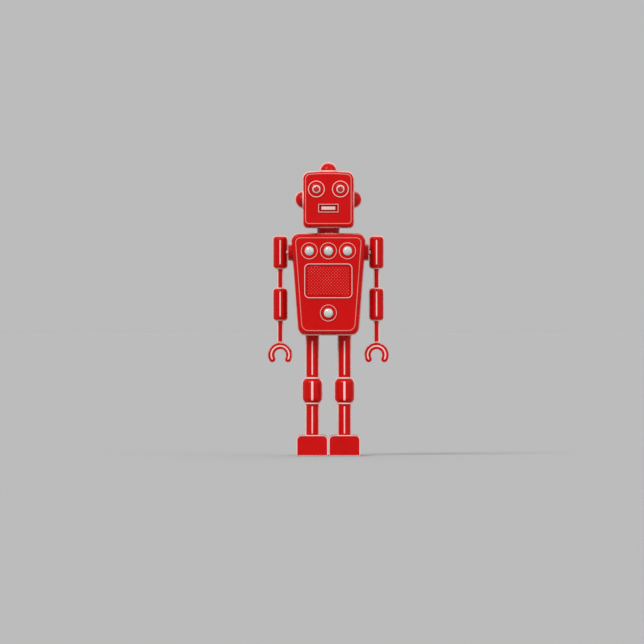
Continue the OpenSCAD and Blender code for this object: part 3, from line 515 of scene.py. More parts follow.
t_lo, t_hi = box("torso_front_shell")
TORSO_Z, TORSO_TOP, FRONT_Y = t_lo.z, t_hi.z, t_lo.y
BACK_Y = box("torso_back_shell")[1].y
W_BOTTOM, W_TOP, TORSO_R, TORSO_EDGE = 50.2, 62.6, 6.8, 2.4
leg_lo, leg_hi = box("left_leg_upper")
LEG_X, LEG_R = (leg_lo.x + leg_hi.x) / 2, (leg_hi.x - leg_lo.x) / 2
drum_lo, drum_hi = box("shoulder_bushes")
SHOULDER_Z = (drum_lo.z + drum_hi.z) / 2
DRUM_SEAM_R = 6.95
DRUM_R = DRUM_SEAM_R - FIN
neck_lo, neck_hi = box("neck_collar")
NECK_R = neck_hi.x
grille_lo, grille_hi = box("grille_frame")
GRILLE_Z = (grille_lo.z + grille_hi.z) / 2
dial_lo, dial_hi = box("chest_dial_bezels")
DIAL_Z, BEZEL_R = (dial_lo.z + dial_hi.z) / 2, (dial_hi.z - dial_lo.z) / 2
PITCH = dial_hi.x - BEZEL_R
belly_lo, belly_hi = box("belly_bezel")
BELLY_Z = (belly_lo.z + belly_hi.z) / 2
arbor_lo, arbor_hi = box("winding_arbor")
WINDER_Z = (arbor_lo.z + arbor_hi.z) / 2


def tapered(bottom, top, d, low_r, high_r):
    """The torso's outline moved inwards by d, with the half widths bottom and top."""
    return rounded([(bottom, TORSO_Z + d, low_r), (top, TORSO_TOP - d, high_r),
                    (-top, TORSO_TOP - d, high_r), (-bottom, TORSO_Z + d, low_r)], 14)


def torso_outline(d):
    r = max(TORSO_R - d, 1.2)
    return tapered(W_BOTTOM / 2 - d, W_TOP / 2 - d, d, r, r)


LINE_INSET = 4.0


def line_outline(d):
    """The pressed line inside the torso's edge: tighter corners above than below."""
    slope = (W_TOP - W_BOTTOM) / 2 / (TORSO_TOP - TORSO_Z)
    tighter = d - LINE_INSET
    return tapered(W_BOTTOM / 2 - d + slope * d, W_TOP / 2 - d - slope * d, d,
                   5.6 - tighter, 3.9 - tighter)


SLOT_X, SLOT_Y = LEG_R + 0.5, LEG_R + 1.9   # half sizes of the slot in which a leg swings


def leg_slots(grow, low, high):
    hx, hy = SLOT_X + grow, SLOT_Y + grow
    return [block((s * LEG_X - hx, s * LEG_X + hx), (-hy, hy), (TORSO_Z + low, TORSO_Z + high))
            for _, s in SIDES]


neck_hole = cylinder("z", 3.2, (0, 0, 0), TORSO_TOP - 4, TORSO_TOP + 1)
shoulder_holes = [cylinder("x", DRUM_R + 0.1, (0, 0, SHOULDER_Z), *ends)
                  for ends in ((24, 36), (-36, -24))]
window = prism(rectangle(35.6, 24.6, 2, 0, GRILLE_Z), FRONT_Y - 1, FRONT_Y + 2)
dial_holes = [cylinder("y", FITTING_R, (x, 0, z), FRONT_Y - 1, FRONT_Y + 2)
              for x, z in ((-PITCH, DIAL_Z), (0, DIAL_Z), (PITCH, DIAL_Z), (0, BELLY_Z))]
openings = [neck_hole, *shoulder_holes, *leg_slots(0.0, -1.0, 3.0)]
make("torso_front_skin", skin(torso_outline, FRONT_Y, TORSO_EDGE), [RED, BARE], "torso",
     ["torso_front_shell"], [*openings, window, *dial_holes])

arbor_hole = cylinder("y", 3, (0, 0, WINDER_Z), BACK_Y - 2, BACK_Y + 1)
screw_holes = [cylinder("y", 1.3, (side * x, 0, WINDER_Z + up), BACK_Y - 2, BACK_Y + 1, 32)
               for x, up in ((14.3, -10), (13.2, 24)) for side in (1, -1)]
make("torso_back_skin", skin(torso_outline, BACK_Y, TORSO_EDGE), [RED, BARE], "torso",
     ["torso_back_shell"], [*openings, arbor_hole, *screw_holes])
make("torso_seam", seam_of(torso_outline), [CREAM, RED], "torso", (),
     [cylinder("z", NECK_R - 0.2, (0, 0, 0), TORSO_TOP - 3, TORSO_TOP + 1),
      *leg_slots(0.4, -1, 2.4)])

LINE_HALF, LINE_RISE = 0.26, 0.22
lines = Build()
for y, side in ((FRONT_Y, -1), (BACK_Y, 1)):
    lines.bead(line_outline, LINE_INSET, LINE_HALF, LINE_RISE, y, side)
make("torso_lines", lines, [ROSE], "torso")


def slot_rim(x0, grow):
    """A leg slot's outline in (x, y), moved outwards by grow."""
    hx, hy, r = SLOT_X + grow, SLOT_Y + grow, 1.0 + grow
    return rounded([(x0 + hx, -hy, r), (x0 + hx, hy, r), (x0 - hx, hy, r), (x0 - hx, -hy, r)], 6)


rims = Build()
RIM_TOP = TORSO_Z + LIP + 0.25
RIM_SECTION = [(0.9, RIM_TOP), (0.9, TORSO_Z + 0.3), (0.6, TORSO_Z), (0.2, TORSO_Z),
               (0.02, TORSO_Z + 0.2), (0.02, RIM_TOP)]
for _, s in SIDES:
    rims.rings([[(x, y, z) for x, y in slot_rim(s * LEG_X, grow)] for grow, z in RIM_SECTION],
               loop=True)
make("leg_slot_rims", rims, [CREAM], "torso")


# ---------------------------------------------------------------- grille

FRAME_SECTION = [(0.0, 0.0), (0.0, 0.5), (0.1, 0.7), (0.25, 0.78), (0.4, 0.78), (0.52, 0.7),
                 (0.62, 0.5), (0.62, 0.0)]   # (inset, rise above the skin)
frame_ring = Build()
frame_ring.outline_rings(rectangle(grille_hi.x * 2, grille_hi.z - grille_lo.z, 4, 0, GRILLE_Z),
                         [(d, FRONT_Y - rise) for d, rise in FRAME_SECTION])
make("grille_rim", frame_ring, [CREAM], "torso", ["grille_frame"])

PLATE_BACK = FRONT_Y + 2 * WALL
plate = Build()
plate.puck(rectangle(35.2, 24.2, 1.8, 0, GRILLE_Z), PLATE_BACK, FRONT_Y + 0.02, 0.2)
plate.puck(rectangle(38, 27, 2, 0, GRILLE_Z), PLATE_BACK, FRONT_Y + WALL + 0.02, 0.1)
make("grille_sheet", plate, [RED], "torso", ["grille_plate"])

PIP_ROWS, ROW_PITCH, PIP_PITCH = 17, 1.3, 2.5
pips = Build()
for row in range(PIP_ROWS):
    z = GRILLE_Z + ROW_PITCH * (row - (PIP_ROWS - 1) / 2)
    count = 14 if row % 2 == 0 else 13
    for i in range(count):
        pips.pip(PIP_PITCH * (i - (count - 1) / 2), FRONT_Y + 0.02, z, 0.38, 0.2)
make("grille_pips", pips, [SALMON], "torso")


# ---------------------------------------------------------------- dials and button guide

TUBE_R = 4.35          # outside of the tube behind a dial or an eye


def dish(b, x, z, y, bore=LENS_R + 0.02, rim=0.4):
    """A red dish with a thin pale rim and a tube through the skin."""
    place = {"axis": "y", "centre": (x, y, z), "loop": True, "side": -1}
    b.lathe([(BEZEL_R - 0.2, 0.0), (BEZEL_R - 0.2, 0.70), (BEZEL_R - 0.9, 0.62), (5.2, 0.42),
             (4.6, 0.50), (4.1, 0.86), (bore + 0.12, 0.92), (bore, 0.82), (bore, -2.3),
             (TUBE_R, -2.3), (TUBE_R, 0.0)], **place)
    b.lathe([(BEZEL_R, 0.0), (BEZEL_R, 0.70), (BEZEL_R - 0.15 * rim, 0.88),
             (BEZEL_R - 0.5 * rim, 0.95), (BEZEL_R - 0.85 * rim, 0.88), (BEZEL_R - rim, 0.70),
             (BEZEL_R - rim, 0.0)], mat=1, **place)


def dome_lens(b, x, z, y, r, r_in=0.0, lift=0.0):
    """A domed lens out to radius r, or only the ring of it outside r_in."""
    ball = (LENS_R ** 2 + LENS_RISE ** 2) / (2 * LENS_RISE)
    back = -1.8
    if r_in:
        radii = [r_in + (r - r_in) * i / 12 for i in range(13)]
    else:
        radii = [r * math.sin(QUARTER * i / 12) for i in range(13)]
    profile = [(max(0.05, q), 1 + LENS_RISE + lift - ball + math.sqrt(ball * ball - q * q))
               for q in radii]
    profile += [(r, back)] + ([(r_in, back)] if r_in else [])
    b.lathe(profile, "y", (x, y, z), loop=bool(r_in), side=-1)


dials, lenses = Build(), Build()
for i in (-1, 0, 1):
    dish(dials, i * PITCH, DIAL_Z, FRONT_Y)
    dome_lens(lenses, i * PITCH, DIAL_Z, FRONT_Y, LENS_R)
make("chest_dials", dials, [RED, CREAM], "torso", ["chest_dial_bezels"])
make("chest_lenses", lenses, [LENS_MILK], "torso", ["chest_dial_lenses"])

guide = Build()
BUTTON_BORE, STEM_BORE = LENS_R + 0.06, 1.56
dish(guide, 0, BELLY_Z, FRONT_Y, bore=BUTTON_BORE)
guide.lathe([(TUBE_R, -2.2), (TUBE_R, -4.2), (STEM_BORE, -4.2), (STEM_BORE, -3.6),
             (BUTTON_BORE, -3.6), (BUTTON_BORE, -2.2)], "y", (0, FRONT_Y, BELLY_Z), loop=True,
            side=-1)
make("button_guide", guide, [RED, CREAM], "torso", ["belly_bezel"])


# ---------------------------------------------------------------- neck and shoulder drums

neck = Build()
z0, z1 = neck_lo.z, neck_hi.z
body_r, rivet_bore = NECK_R - FIN, 3.06
neck.lathe([(rivet_bore, z0), (body_r, z0), (body_r, z1 - 0.3), (body_r - 0.3, z1),
            (rivet_bore, z1)], loop=True)
neck.lathe([(body_r - 0.1, z0), (NECK_R, z0), (NECK_R, TORSO_TOP - 0.25),
            (NECK_R - 0.25, TORSO_TOP), (body_r - 0.1, TORSO_TOP)], loop=True, mat=1)
for _, s in SIDES:
    neck.block((s * (body_r - 0.1), s * NECK_R), (-FIN_HALF, FIN_HALF), (z0 + 0.2, z1), 1)
make("neck_tube", neck, [RED, CREAM], "torso", ["neck_collar"])

FLANGE_X, FLANGE_R = 27.5, 8.2   # outer face and radius of the flange inside the torso's wall
AXLE_BORE = 2.06
drum_end = drum_hi.x
drums = Build()
for _, s in SIDES:
    drums.lathe([(AXLE_BORE, FLANGE_X - 1), (FLANGE_R, FLANGE_X - 1), (FLANGE_R, FLANGE_X),
                 (DRUM_R, FLANGE_X), (DRUM_R, drum_end - 0.4), (DRUM_R - 0.12, drum_end - 0.12),
                 (DRUM_R - 0.4, drum_end), (AXLE_BORE, drum_end)], "x", (0, 0, SHOULDER_Z),
                loop=True, side=s)
    for up in (1, -1):
        outer, inner = SHOULDER_Z + up * DRUM_SEAM_R, SHOULDER_Z + up * (DRUM_R - 0.15)
        side_x = (W_BOTTOM + (W_TOP - W_BOTTOM) * (outer - TORSO_Z) / (TORSO_TOP - TORSO_Z)) / 2
        drums.block((s * (side_x - 0.6), s * drum_end), (-FIN_HALF, FIN_HALF),
                    sorted((outer, inner)), 1)
make("shoulder_drums", drums, [RED, CREAM], "torso", ["shoulder_bushes"])


# ---------------------------------------------------------------- head

h_lo, h_hi = box("head_front_shell")
HEAD_Z, HEAD_H, HEAD_EDGE, FACE_Y = h_lo.z, 47.2, 1.8, h_lo.y
HEAD_TOP = HEAD_Z + HEAD_H
HEAD_W = h_hi.x - h_lo.x
eye_lo, eye_hi = box("eye_bezels")
EYE_Z = (eye_lo.z + eye_hi.z) / 2
EYE_X = eye_hi.x - (eye_hi.z - eye_lo.z) / 2
mouth_lo, mouth_hi = box("mouth_frame")
MOUTH_Z = (mouth_lo.z + mouth_hi.z) / 2
EAR_Z = HEAD_Z + 23.4
DOME_R = 7.1
FLOOR_HOLE_R = 10.02   # opening in the seam under the head


def bowed(half, low, high, bow, low_r, high_r):
    """A head's outline, whose top bulges above its corners by bow."""
    big = 150.0
    apex = high + big * (1 / math.cos(math.atan(bow / half)) - 1)
    shoulder = high - bow
    return (corner((0, low), (half, low), (half, high), low_r, 12)
            + corner((half, low), (half, shoulder), (0, apex), high_r, 12)
            + corner((half, shoulder), (0, apex), (-half, shoulder), big, 12)
            + corner((0, apex), (-half, shoulder), (-half, low), high_r, 12)
            + corner((-half, high), (-half, low), (0, low), low_r, 12))


def head_outline(d):
    return bowed(HEAD_W / 2 - d, HEAD_Z + d, HEAD_TOP - d, 1.2, max(3.8 - d, 0.9),
                 max(5.9 - d, 1.2))


FACE_LINE_INSET = 2.6


def face_line(d):
    """The pressed line inside the head's edge, set higher above the neck than at the sides."""
    tighter = d - FACE_LINE_INSET
    return bowed(HEAD_W / 2 - d, HEAD_Z + d + 1.1, HEAD_TOP - d, 1.05, 2.6 - tighter,
                 3.9 - tighter)


rivet_hole = cylinder("z", 3.02, (0, 0, 0), HEAD_Z - 1, HEAD_Z + 4)
face_holes = [cylinder("y", FITTING_R, (s * EYE_X, 0, EYE_Z), FACE_Y - 1, FACE_Y + 2)
              for _, s in SIDES]
mouth_hole = prism(rectangle(13.6, 4.4, 0.4, 0, MOUTH_Z), FACE_Y - 1, FACE_Y + 2)
make("head_front_skin", skin(head_outline, FACE_Y, HEAD_EDGE), [RED, BARE], "head",
     ["head_front_shell"], [rivet_hole, *face_holes, mouth_hole])
make("head_back_skin", skin(head_outline, -FACE_Y, HEAD_EDGE), [RED, BARE], "head",
     ["head_back_shell"], [rivet_hole])
dome_hole_r, ear_x = DOME_R - 0.2, HEAD_W / 2
make("head_seam", seam_of(head_outline), [CREAM, RED], "head", (),
     [cylinder("z", FLOOR_HOLE_R, (0, 0, 0), HEAD_Z - 1, HEAD_Z + 2),
      cylinder("z", dome_hole_r, (0, 0, 0), HEAD_TOP - 3, HEAD_TOP + 1),
      cylinder("x", dome_hole_r, (0, 0, EAR_Z), ear_x - 3, ear_x + 1),
      cylinder("x", dome_hole_r, (0, 0, EAR_Z), -ear_x - 1, 3 - ear_x)])

ring = Build()
ring_top = HEAD_Z + LIP + ROOT
ring.lathe([(FLOOR_HOLE_R, ring_top), (FLOOR_HOLE_R, HEAD_Z + 0.15), (10.2, HEAD_Z),
            (10.65, HEAD_Z), (10.88, HEAD_Z + 0.25), (10.88, ring_top)], loop=True)
make("head_floor_ring", ring, [CREAM], "head")

lines = Build()
for y, side in ((FACE_Y, -1), (-FACE_Y, 1)):
    lines.bead(face_line, FACE_LINE_INSET, LINE_HALF, LINE_RISE, y, side)
make("head_lines", lines, [ROSE], "head")


def dome(b, place, skirt):
    """A hollow half ball with a crimped rim and a seam across it; place maps local to world."""
    r = DOME_R - FIN
    start = len(b.points)
    steep, edge = math.radians(88), math.radians(4)
    profile = [(r, 0.0), (r, skirt)] + arc(r, edge, steep, 16, (0, skirt))
    profile += [(0.05, skirt + r), (0.05, skirt + r - WALL)]
    profile += reversed(arc(r - WALL, 0, steep, 12, (0, skirt)))
    profile += [(r - WALL, 0.0)]
    b.lathe(profile, loop=True)
    b.lathe([(r - 0.2, 0.0), (DOME_R, 0.0), (DOME_R, LIP - 0.3), (DOME_R - 0.3, LIP),
             (r - 0.2, LIP)], loop=True, mat=1)

    def rim(d):
        q = DOME_R - d
        return [(q, 0.0)] + arc(q, 0, math.pi, 40, (0, skirt)) + [(-q, 0.0)]
    e = 0.22
    half = [(FIN + 0.12, FIN_HALF), (e, FIN_HALF), (0.0, FIN_HALF - e), (0.0, 0.08), (0.1, 0.0)]
    section = half + [(d, -y) for d, y in half[-2::-1]]
    along = [[(x, y, z) for x, z in rim(d)] for d, y in section]
    b.rings([list(across) for across in zip(*along)], 1)
    b.points[start:] = [tuple(place @ Vector(p)) for p in b.points[start:]]


domes = Build()
dome(domes, Matrix.Translation((0, 0, HEAD_TOP - LIP)), LIP - 0.3)
for _, s in SIDES:
    dome(domes, Matrix.Translation((s * (HEAD_W / 2 - LIP), 0, EAR_Z))
         @ Matrix.Rotation(s * QUARTER, 4, "Y"), LIP - 0.7)
make("head_dome_caps", domes, [RED, CREAM], "head", ["head_domes"])

RING_IN, RING_OUT = 2.4, 3.3   # the pale ring in an eye
eyes, eye_rings, pupils = Build(), Build(), Build()
for _, s in SIDES:
    x = s * EYE_X
    dish(eyes, x, EYE_Z, FACE_Y, rim=0.6)
    dome_lens(eye_rings, x, EYE_Z, FACE_Y, RING_OUT, r_in=RING_IN)
    dome_lens(pupils, x, EYE_Z, FACE_Y, RING_IN - 0.02, lift=-0.1)
    dome_lens(pupils, x, EYE_Z, FACE_Y, LENS_R, r_in=RING_OUT + 0.02, lift=-0.1)
make("eye_dishes", eyes, [RED, CREAM], "head", ["eye_bezels"])
make("eye_glass", eye_rings, [LENS_RING], "head", ["eye_lenses"])
make("eye_pupils", pupils, [LENS_RED], "head")

mouth = Build()
rim = rectangle(mouth_hi.x * 2, mouth_hi.z - mouth_lo.z, 0.6, 0, MOUTH_Z)
PALE_RIM = [(0.0, 0.0), (0.0, 0.5), (0.08, 0.72), (0.2, 0.78), (0.32, 0.72), (0.42, 0.5),
            (0.42, 0.0)]
RED_RIM = [(0.3, 0.0), (0.3, 0.5), (0.8, 0.5), (0.9, 0.4), (0.9, 0.0)]
for mat, section in enumerate((PALE_RIM, RED_RIM)):
    mouth.outline_rings(rim, [(d, FACE_Y - rise) for d, rise in section], mat)
make("mouth_rim", mouth, [CREAM, RED], "head", ["mouth_frame"])
mouth = Build()
mouth.puck(rectangle(16, 7, 0.6, 0, MOUTH_Z), FACE_Y + 2 * WALL, FACE_Y + WALL + 0.02, 0.1)
mouth.puck(rectangle(11.4, 2.8, 0.35, 0, MOUTH_Z), FACE_Y + 0.7, FACE_Y - 0.2, 0.3, 1)
make("mouth_bar", mouth, [DEEP, WHITE], "head", ["mouth_plate"])


# ---------------------------------------------------------------- cans, stripes and fins

def can_radius(r, h, c, z_low):
    """Radius of a can's turned body at height z."""
    body_r, bend_r = r - FIN, c - FIN

    def surface(z):
        dz = min(z - z_low - FIN, z_low + h - FIN - z)
        if dz >= bend_r:
            return body_r
        return body_r - bend_r + math.sqrt(max(0.0, bend_r ** 2 - (bend_r - max(dz, 0.0)) ** 2))
    return surface


def eyelet(b, x, bore, ring_r, outer_z, inner_z):
    """The pale ring round a rod where it enters a can."""
    up = 1 if inner_z > outer_z else -1
    b.lathe([(bore, outer_z + 0.05 * up), (bore, inner_z), (ring_r, inner_z),
             (ring_r, outer_z + 0.2 * up), (ring_r - 0.2, outer_z), (bore + 0.1, outer_z)],
            centre=(x, 0, 0), n=48, loop=True, mat=1)


def striped_can(node, x, c, bore, ring_r, stripe, closed_top=False):
    """A hollow can in a CAD node's place, with a seam all round, an eyelet at each open end, and
    stripes down its front and back. A stripe is (from below, from above, width, height)."""
    lo, hi = box(node)
    r, h = (hi.x - lo.x) / 2, hi.z - lo.z
    body_r, bend_r = r - FIN, c - FIN
    z0, z1 = lo.z + FIN, lo.z + h - FIN
    top_bore = 0.05 if closed_top else bore
    b = Build()
    profile = [(bore, z0)] + arc(bend_r, -QUARTER, 0, 8, (body_r - bend_r, z0 + bend_r))
    profile += arc(bend_r, 0, QUARTER, 8, (body_r - bend_r, z1 - bend_r)) + [(top_bore, z1)]
    inner_r, inner_bend = body_r - WALL, max(bend_r - WALL, 0.3)
    middle_r, rise = inner_r - inner_bend, WALL + inner_bend
    profile += [(top_bore, z1 - WALL)] + arc(inner_bend, QUARTER, 0, 8, (middle_r, z1 - rise))
    profile += arc(inner_bend, 0, -QUARTER, 8, (middle_r, z0 + rise)) + [(bore, z0 + WALL)]
    b.lathe(profile, centre=(x, 0, 0), n=72, loop=True)
    b.seam(rectangle(2 * r, h, c, x, lo.z + h / 2), FIN + 0.15, FIN_HALF, 1)
    eyelet(b, x, bore, ring_r, lo.z, z0 + 0.3)
    if not closed_top:
        eyelet(b, x, bore, ring_r, lo.z + h, z1 - 0.3)
    from_below, from_above, width, height = stripe
    surface = can_radius(r, h, c, lo.z)
    for side in (1, -1):
        b.stripe(x, surface, lo.z + from_below, hi.z - from_above, width, height, side)
    return b


def fins(b, x, r, z0, z1):
    """The pale seams down both sides of a tube or rod of outer radius r."""
    e = 0.2
    for _, s in SIDES:
        inner, outer = x + s * (r - FIN - 0.12), x + s * r
        b.rings([[(inner, -FIN_HALF, z), (outer - s * e, -FIN_HALF, z), (outer, e - FIN_HALF, z),
                  (outer, FIN_HALF - e, z), (outer - s * e, FIN_HALF, z), (inner, FIN_HALF, z)]
                 for z in (z0, z1)], 1)


# ---------------------------------------------------------------- arms

SLEEVE_CORNER = 2.8
GRIP_R = 4.7
CLAW_GAP = math.radians((360 - 236) / 2)             # half of the claw's opening
CLAW_FROM, CLAW_TO = CLAW_GAP - QUARTER, 3 * QUARTER - CLAW_GAP
LONG, ROUND = 56, 10                                 # steps along the claw and round its ends


def claw_outline(x, z, r):
    """A C that opens downwards, as an outline function: outside, end, inside, end."""
    middle_r, half_w = (r + GRIP_R) / 2, (r - GRIP_R) / 2

    def end(d, angle, start):
        centre = (middle_r * math.cos(angle), middle_r * math.sin(angle))
        return arc(half_w - d, start, start + math.pi, ROUND, centre)[1:-1]

    def outline(d):
        points = (arc(r - d, CLAW_FROM, CLAW_TO, LONG) + end(d, CLAW_TO, CLAW_TO)
                  + arc(GRIP_R + d, CLAW_TO, CLAW_FROM, LONG)
                  + end(d, CLAW_FROM, CLAW_FROM + math.pi))
        return [(x + px, z + pz) for px, pz in points]
    return outline


def claw(x, z, r, half_t):
    """A C of thick sheet with rounded edges and an inlaid line on both faces."""
    b = Build()
    outline = claw_outline(x, z, r)
    section = [(d, back - half_t) for d, back in bend(0.8, 6)]
    section += [(d, -y) for d, y in reversed(section)]
    rows = b.rings([[(px, y, pz) for px, pz in outline(d)] for d, y in section],
                   caps=(False, False))
    for row in (rows[0], rows[-1]):
        inside = LONG + ROUND
        for i in range(LONG):
            j = inside + LONG - i
            b.face((row[i], row[i + 1], row[j - 1], row[j]))
        b.face(row[LONG:inside + 1])
        b.face(row[inside + LONG:] + [row[0]])
    middle_r = (r + GRIP_R) / 2
    steps, inlay_w, inlay_h = 60, 0.6, 0.2
    profile = ([(-inlay_w, -inlay_h)]
               + [(-inlay_w * math.cos(math.pi * i / 6), inlay_h * math.sin(math.pi * i / 6))
                  for i in range(7)] + [(inlay_w, -inlay_h)])
    for side in (1, -1):
        rings = []
        for k in range(steps + 1):
            t = CLAW_FROM - 0.06 + (CLAW_TO - CLAW_FROM + 0.12) * k / steps
            grow = min(1.0, 0.25 + 0.5 * min(k, steps - k))
            rings.append([(x + (middle_r + q * grow) * math.cos(t),
                           side * (half_t - 0.02 + h * grow),
                           z + (middle_r + q * grow) * math.sin(t)) for q, h in profile])
        b.rings(rings, 1)
    return b


for name, s in SIDES:
    arm = name + "_arm"
    up_lo, up_hi = box(name + "_upper_sleeve")
    low_lo, low_hi = box(name + "_lower_sleeve")
    x, sleeve_r = (up_lo.x + up_hi.x) / 2, (up_hi.x - up_lo.x) / 2
    rod_lo, rod_hi = box(name + "_arm_rod")
    rod_r = (rod_hi.x - rod_lo.x) / 2
    core = rod_r - FIN
    x_in = x - s * (sleeve_r + 1)
    axle_hole = cylinder("x", 2.02, (0, 0, SHOULDER_Z), *sorted((x_in, x_in + 3 * s)), 32)
    make(name + "_shoulder_sleeve",
         striped_can(name + "_upper_sleeve", x, SLEEVE_CORNER, core + 0.02, rod_r,
                     (3.6, 3.4, 1.05, 0.2), closed_top=True),
         [RED, CREAM], arm, [name + "_upper_sleeve"], [axle_hole])
    make(name + "_forearm_sleeve",
         striped_can(name + "_lower_sleeve", x, SLEEVE_CORNER, core + 0.02, rod_r,
                     (3.6, 3.1, 1.05, 0.2)),
         [RED, CREAM], arm, [name + "_lower_sleeve"])

    claw_lo, claw_hi = box(name + "_claw")
    claw_r = (claw_hi.x - claw_lo.x) / 2
    claw_z = claw_hi.z - claw_r
    shoulder = claw_z + claw_r + 0.2
    pin_r = 1.5
    rod = Build()
    rod.lathe([(pin_r - 0.2, claw_z + 6.4), (pin_r, claw_z + 6.6), (pin_r, shoulder),
               (core, shoulder), (core, up_hi.z - 2)], centre=(x, 0, 0), n=40)
    fins(rod, x, rod_r, shoulder, low_lo.z)
    fins(rod, x, rod_r, low_hi.z, up_lo.z)
    rod.lathe([(pin_r + 0.02, shoulder), (rod_r, shoulder), (rod_r, shoulder + 0.55),
               (core - 0.1, shoulder + 0.7), (core - 0.1, shoulder + 0.02)],
              centre=(x, 0, 0), n=40, loop=True, mat=1)
    make(name + "_arm_bar", rod, [RED, CREAM], arm, [name + "_arm_rod"])
    make(name + "_grip", claw(x, claw_z, claw_r, (claw_hi.y - claw_lo.y) / 2), [RED, CREAM],
         name + "_hand", [name + "_claw"],
         [cylinder("z", pin_r + 0.06, (x, 0, 0), claw_z + 6, shoulder + 1, 32)])


# ---------------------------------------------------------------- legs and feet

TUBE_BODY_R = LEG_R - FIN


def leg_tube(x, node, from_below, from_above):
    """A closed tube with fins at its sides and stripes on its front and back."""
    z0, z1 = box(node)[0].z, box(node)[1].z
    b = Build()
    b.lathe([(TIE_R, z0), (TUBE_BODY_R, z0), (TUBE_BODY_R, z1), (TIE_R, z1), (TIE_R, z1 - WALL),
             (TUBE_BODY_R - WALL, z1 - WALL), (TUBE_BODY_R - WALL, z0 + WALL), (TIE_R, z0 + WALL)],
            centre=(x, 0, 0), loop=True)
    fins(b, x, LEG_R, z0, z1)
    for side in (1, -1):
        b.stripe(x, lambda z: TUBE_BODY_R, z0 + from_below, z1 - from_above, 1.1, 0.2, side)
    return b


def foot_outline(x, half_w, low, top):
    """A foot's front outline, rounded above and open below, as a function of the inset d."""
    def outline(d):
        left, right, high, r = x - half_w + d, x + half_w - d, top - d, max(4 - d, 0.6)
        return ([(left, low), (right, low)]
                + corner((right, low), (right, high), (left, high), r, 12)
                + corner((right, high), (left, high), (left, low), r, 12))
    return outline


FOOT_ENDS = ((0.12, 1.0), (0.12, 0.3), (0.3, 0.2))             # (inset, distance from the end)
FOOT_RIM = ((0.0, 1.0), (0.0, 0.25), (0.08, 0.06), (0.2, 0.0), (0.45, 0.0), (0.57, 0.06),
            (0.65, 0.3), (0.65, 0.9))

for name, s in SIDES:
    x, leg = s * LEG_X, name + "_leg"
    make(name + "_thigh_tube", leg_tube(x, leg + "_upper", 1.9, 7.6), [RED, CREAM], leg,
         [leg + "_upper"])
    make(name + "_shin_tube", leg_tube(x, leg + "_lower", 1.8, 1.9), [RED, CREAM], leg,
         [leg + "_lower"])
    make(name + "_knee_can",
         striped_can(name + "_knee_cuff", x, 5.2, TIE_R, LEG_R, (2.7, 3.2, 1.8, 0.22)),
         [RED, CREAM], leg, [name + "_knee_cuff"])

    # A wrapped sheet closed by crimped end plates
    foot_lo, foot_hi = box(name + "_foot_shell")
    foot_top = foot_hi.z
    outline = foot_outline(x, (foot_hi.x - foot_lo.x) / 2, foot_lo.z, foot_top)
    y0, y1 = foot_lo.y, foot_hi.y
    case, rim = Build(), Build()
    case.outline_rings(outline, [(FIN, y0 + 0.5), (FIN, y1 - 0.5), (FIN + WALL, y1 - 0.5),
                                 (FIN + WALL, y0 + 0.5)])
    for y, side in ((y0, -1), (y1, 1)):
        case.outline_rings(outline, [(d, y - side * back) for d, back in FOOT_ENDS], loop=False)
        along = [[(px, y - side * back, pz) for px, pz in outline(d)] for d, back in FOOT_RIM]
        around = [list(across) for across in zip(*along)]
        rim.rings(around[1:] + around[:1])
    make(name + "_foot_rim", rim, [CREAM], leg)
    make(name + "_foot_case", case, [RED], leg, [name + "_foot_shell"],
         [cylinder("z", TIE_R, (x, 0, 0), foot_top - 3, foot_top + 1, 32)])
    collar = Build()
    seat_z = foot_top - FIN
    collar.lathe([(TUBE_BODY_R - 0.1, seat_z - 0.02), (LEG_R + 0.05, seat_z - 0.02),
                  (LEG_R + 0.05, seat_z + 0.45), (LEG_R - 0.15, seat_z + 0.62),
                  (TUBE_BODY_R - 0.1, seat_z + 0.62)], centre=(x, 0, 0), loop=True)
    make(name + "_ankle_ring", collar, [CREAM], leg)


# ---------------------------------------------------------------- button spring

spring_lo, spring_hi = box("button_spring")
WIRE_R, TURNS, PER_TURN = 0.28, 3, 40
COIL_R = (spring_hi.x - spring_lo.x) / 2 - WIRE_R
END = 0.32             # from the spring's ends to the middle of its wire
coil = Build()
rings = []
for i in range(TURNS * PER_TURN + 1):
    a, t = 2 * math.pi * i / PER_TURN, i / (TURNS * PER_TURN)
    y = spring_lo.y + END + (spring_hi.y - spring_lo.y - 2 * END) * t
    rings.append([(q * math.cos(a), y + up, BELLY_Z + q * math.sin(a))
                  for q, up in arc(WIRE_R, 0, 2 * math.pi, 12, (COIL_R, 0.0))[:-1]])
coil.rings(rings)
coil_obj = make("button_coil", coil, [SPRING], "torso", ["button_spring"])
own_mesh(coil_obj)


# ---------------------------------------------------------------- CAD nodes that stay

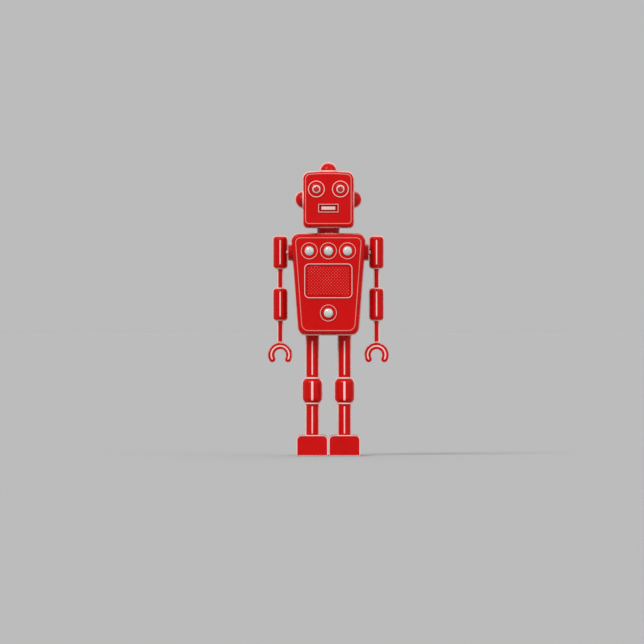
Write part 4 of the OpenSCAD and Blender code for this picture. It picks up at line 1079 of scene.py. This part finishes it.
WIDE, FINE = 0.12, 0.05   # bevels along the edges
finishes = {node: (STEEL, WIDE) for node in (
    "hip_bracket", "hip_shaft", "movement_front_plate", "movement_back_plate",
    "movement_pillars", "movement_fasteners", "winding_key", "winding_arbor", "ratchet_wheel",
    "ratchet_click", "crankshaft", "neck_rivet")}
finishes.update({"mainspring": (SPRING, 0), "brake_pad": (PAD, FINE), "great_wheel": (BRASS, FINE),
                 "crown_wheel": (BRASS, FINE), "governor_wheel": (BRASS, FINE),
                 "governor_fly": (BRASS, FINE), "stop_button": (LENS_MILK, FINE)})
for name, _ in SIDES:
    for part, width in (("_arm_axle", FINE), ("_hip_yoke", FINE), ("_foot_chassis", WIDE),
                        ("_foot_pawl", WIDE)):
        finishes[name + part] = (STEEL, width)
for node, (finish, width) in finishes.items():
    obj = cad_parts[node]
    obj.data.materials.clear()
    obj.data.materials.append(finish)
    obj.modifiers.new("weld", "WELD").merge_threshold = 0.002 * MM
    if width:
        bevel = obj.modifiers.new("edges", "BEVEL")
        bevel.width = width * MM
        bevel.segments = 2
        bevel.limit_method = "ANGLE"
        bevel.angle_limit = math.radians(40)
        bevel.use_clamp_overlap = True
        bevel.harden_normals = False
    obj.modifiers.new("normals", "WEIGHTED_NORMAL").keep_sharp = True


# ---------------------------------------------------------------- floor and light

FLOOR_Z = -0.02
FLOOR_RADII = (100000.0, 20000.0, 3000.0, 600.0, 200.0)
floor = Build()
floor.rings([[(px, py, FLOOR_Z) for px, py in arc(r, 0, 2 * math.pi, 96)[:-1]]
             for r in FLOOR_RADII], caps=(False, True))
pale = Nodes("pale_floor")
grain = pale.noise(30, 3, 0.5)
pale.set(Base_Color=pale.mix(grain, (0.413, 0.413, 0.413), (0.427, 0.427, 0.427)),
         Roughness=pale.remap(grain, 0.3, 0.7, 0.85, 0.95), Specular_IOR_Level=0.1)
floor_obj = to_object("floor", floor, [pale.material])


def sun(name, azimuth, elevation, strength, angle):
    """A soft white sun, at an azimuth counted from the robot's front towards its left."""
    light = bpy.data.lights.new(name, "SUN")
    light.energy, light.angle = strength, math.radians(angle)
    obj = bpy.data.objects.new(name, light)
    scene.collection.objects.link(obj)
    a, e = math.radians(azimuth), math.radians(elevation)
    where = Vector((math.sin(a) * math.cos(e), -math.cos(a) * math.cos(e), math.sin(e)))
    obj.rotation_euler = where.to_track_quat("Z", "Y").to_euler()


sun("key", -35, 42, 1.95, 28)
sun("fill", 48, 30, 0.85, 50)
sun("back", 170, 50, 0.5, 40)
world = bpy.data.worlds.new("studio")
scene.world = world
world.use_nodes = True
sky = world.node_tree.nodes["Background"].inputs
sky["Color"].default_value = (1, 1, 1, 1)
sky["Strength"].default_value = 0.50
scene.view_settings.view_transform = "Standard"
scene.view_settings.look = "None"
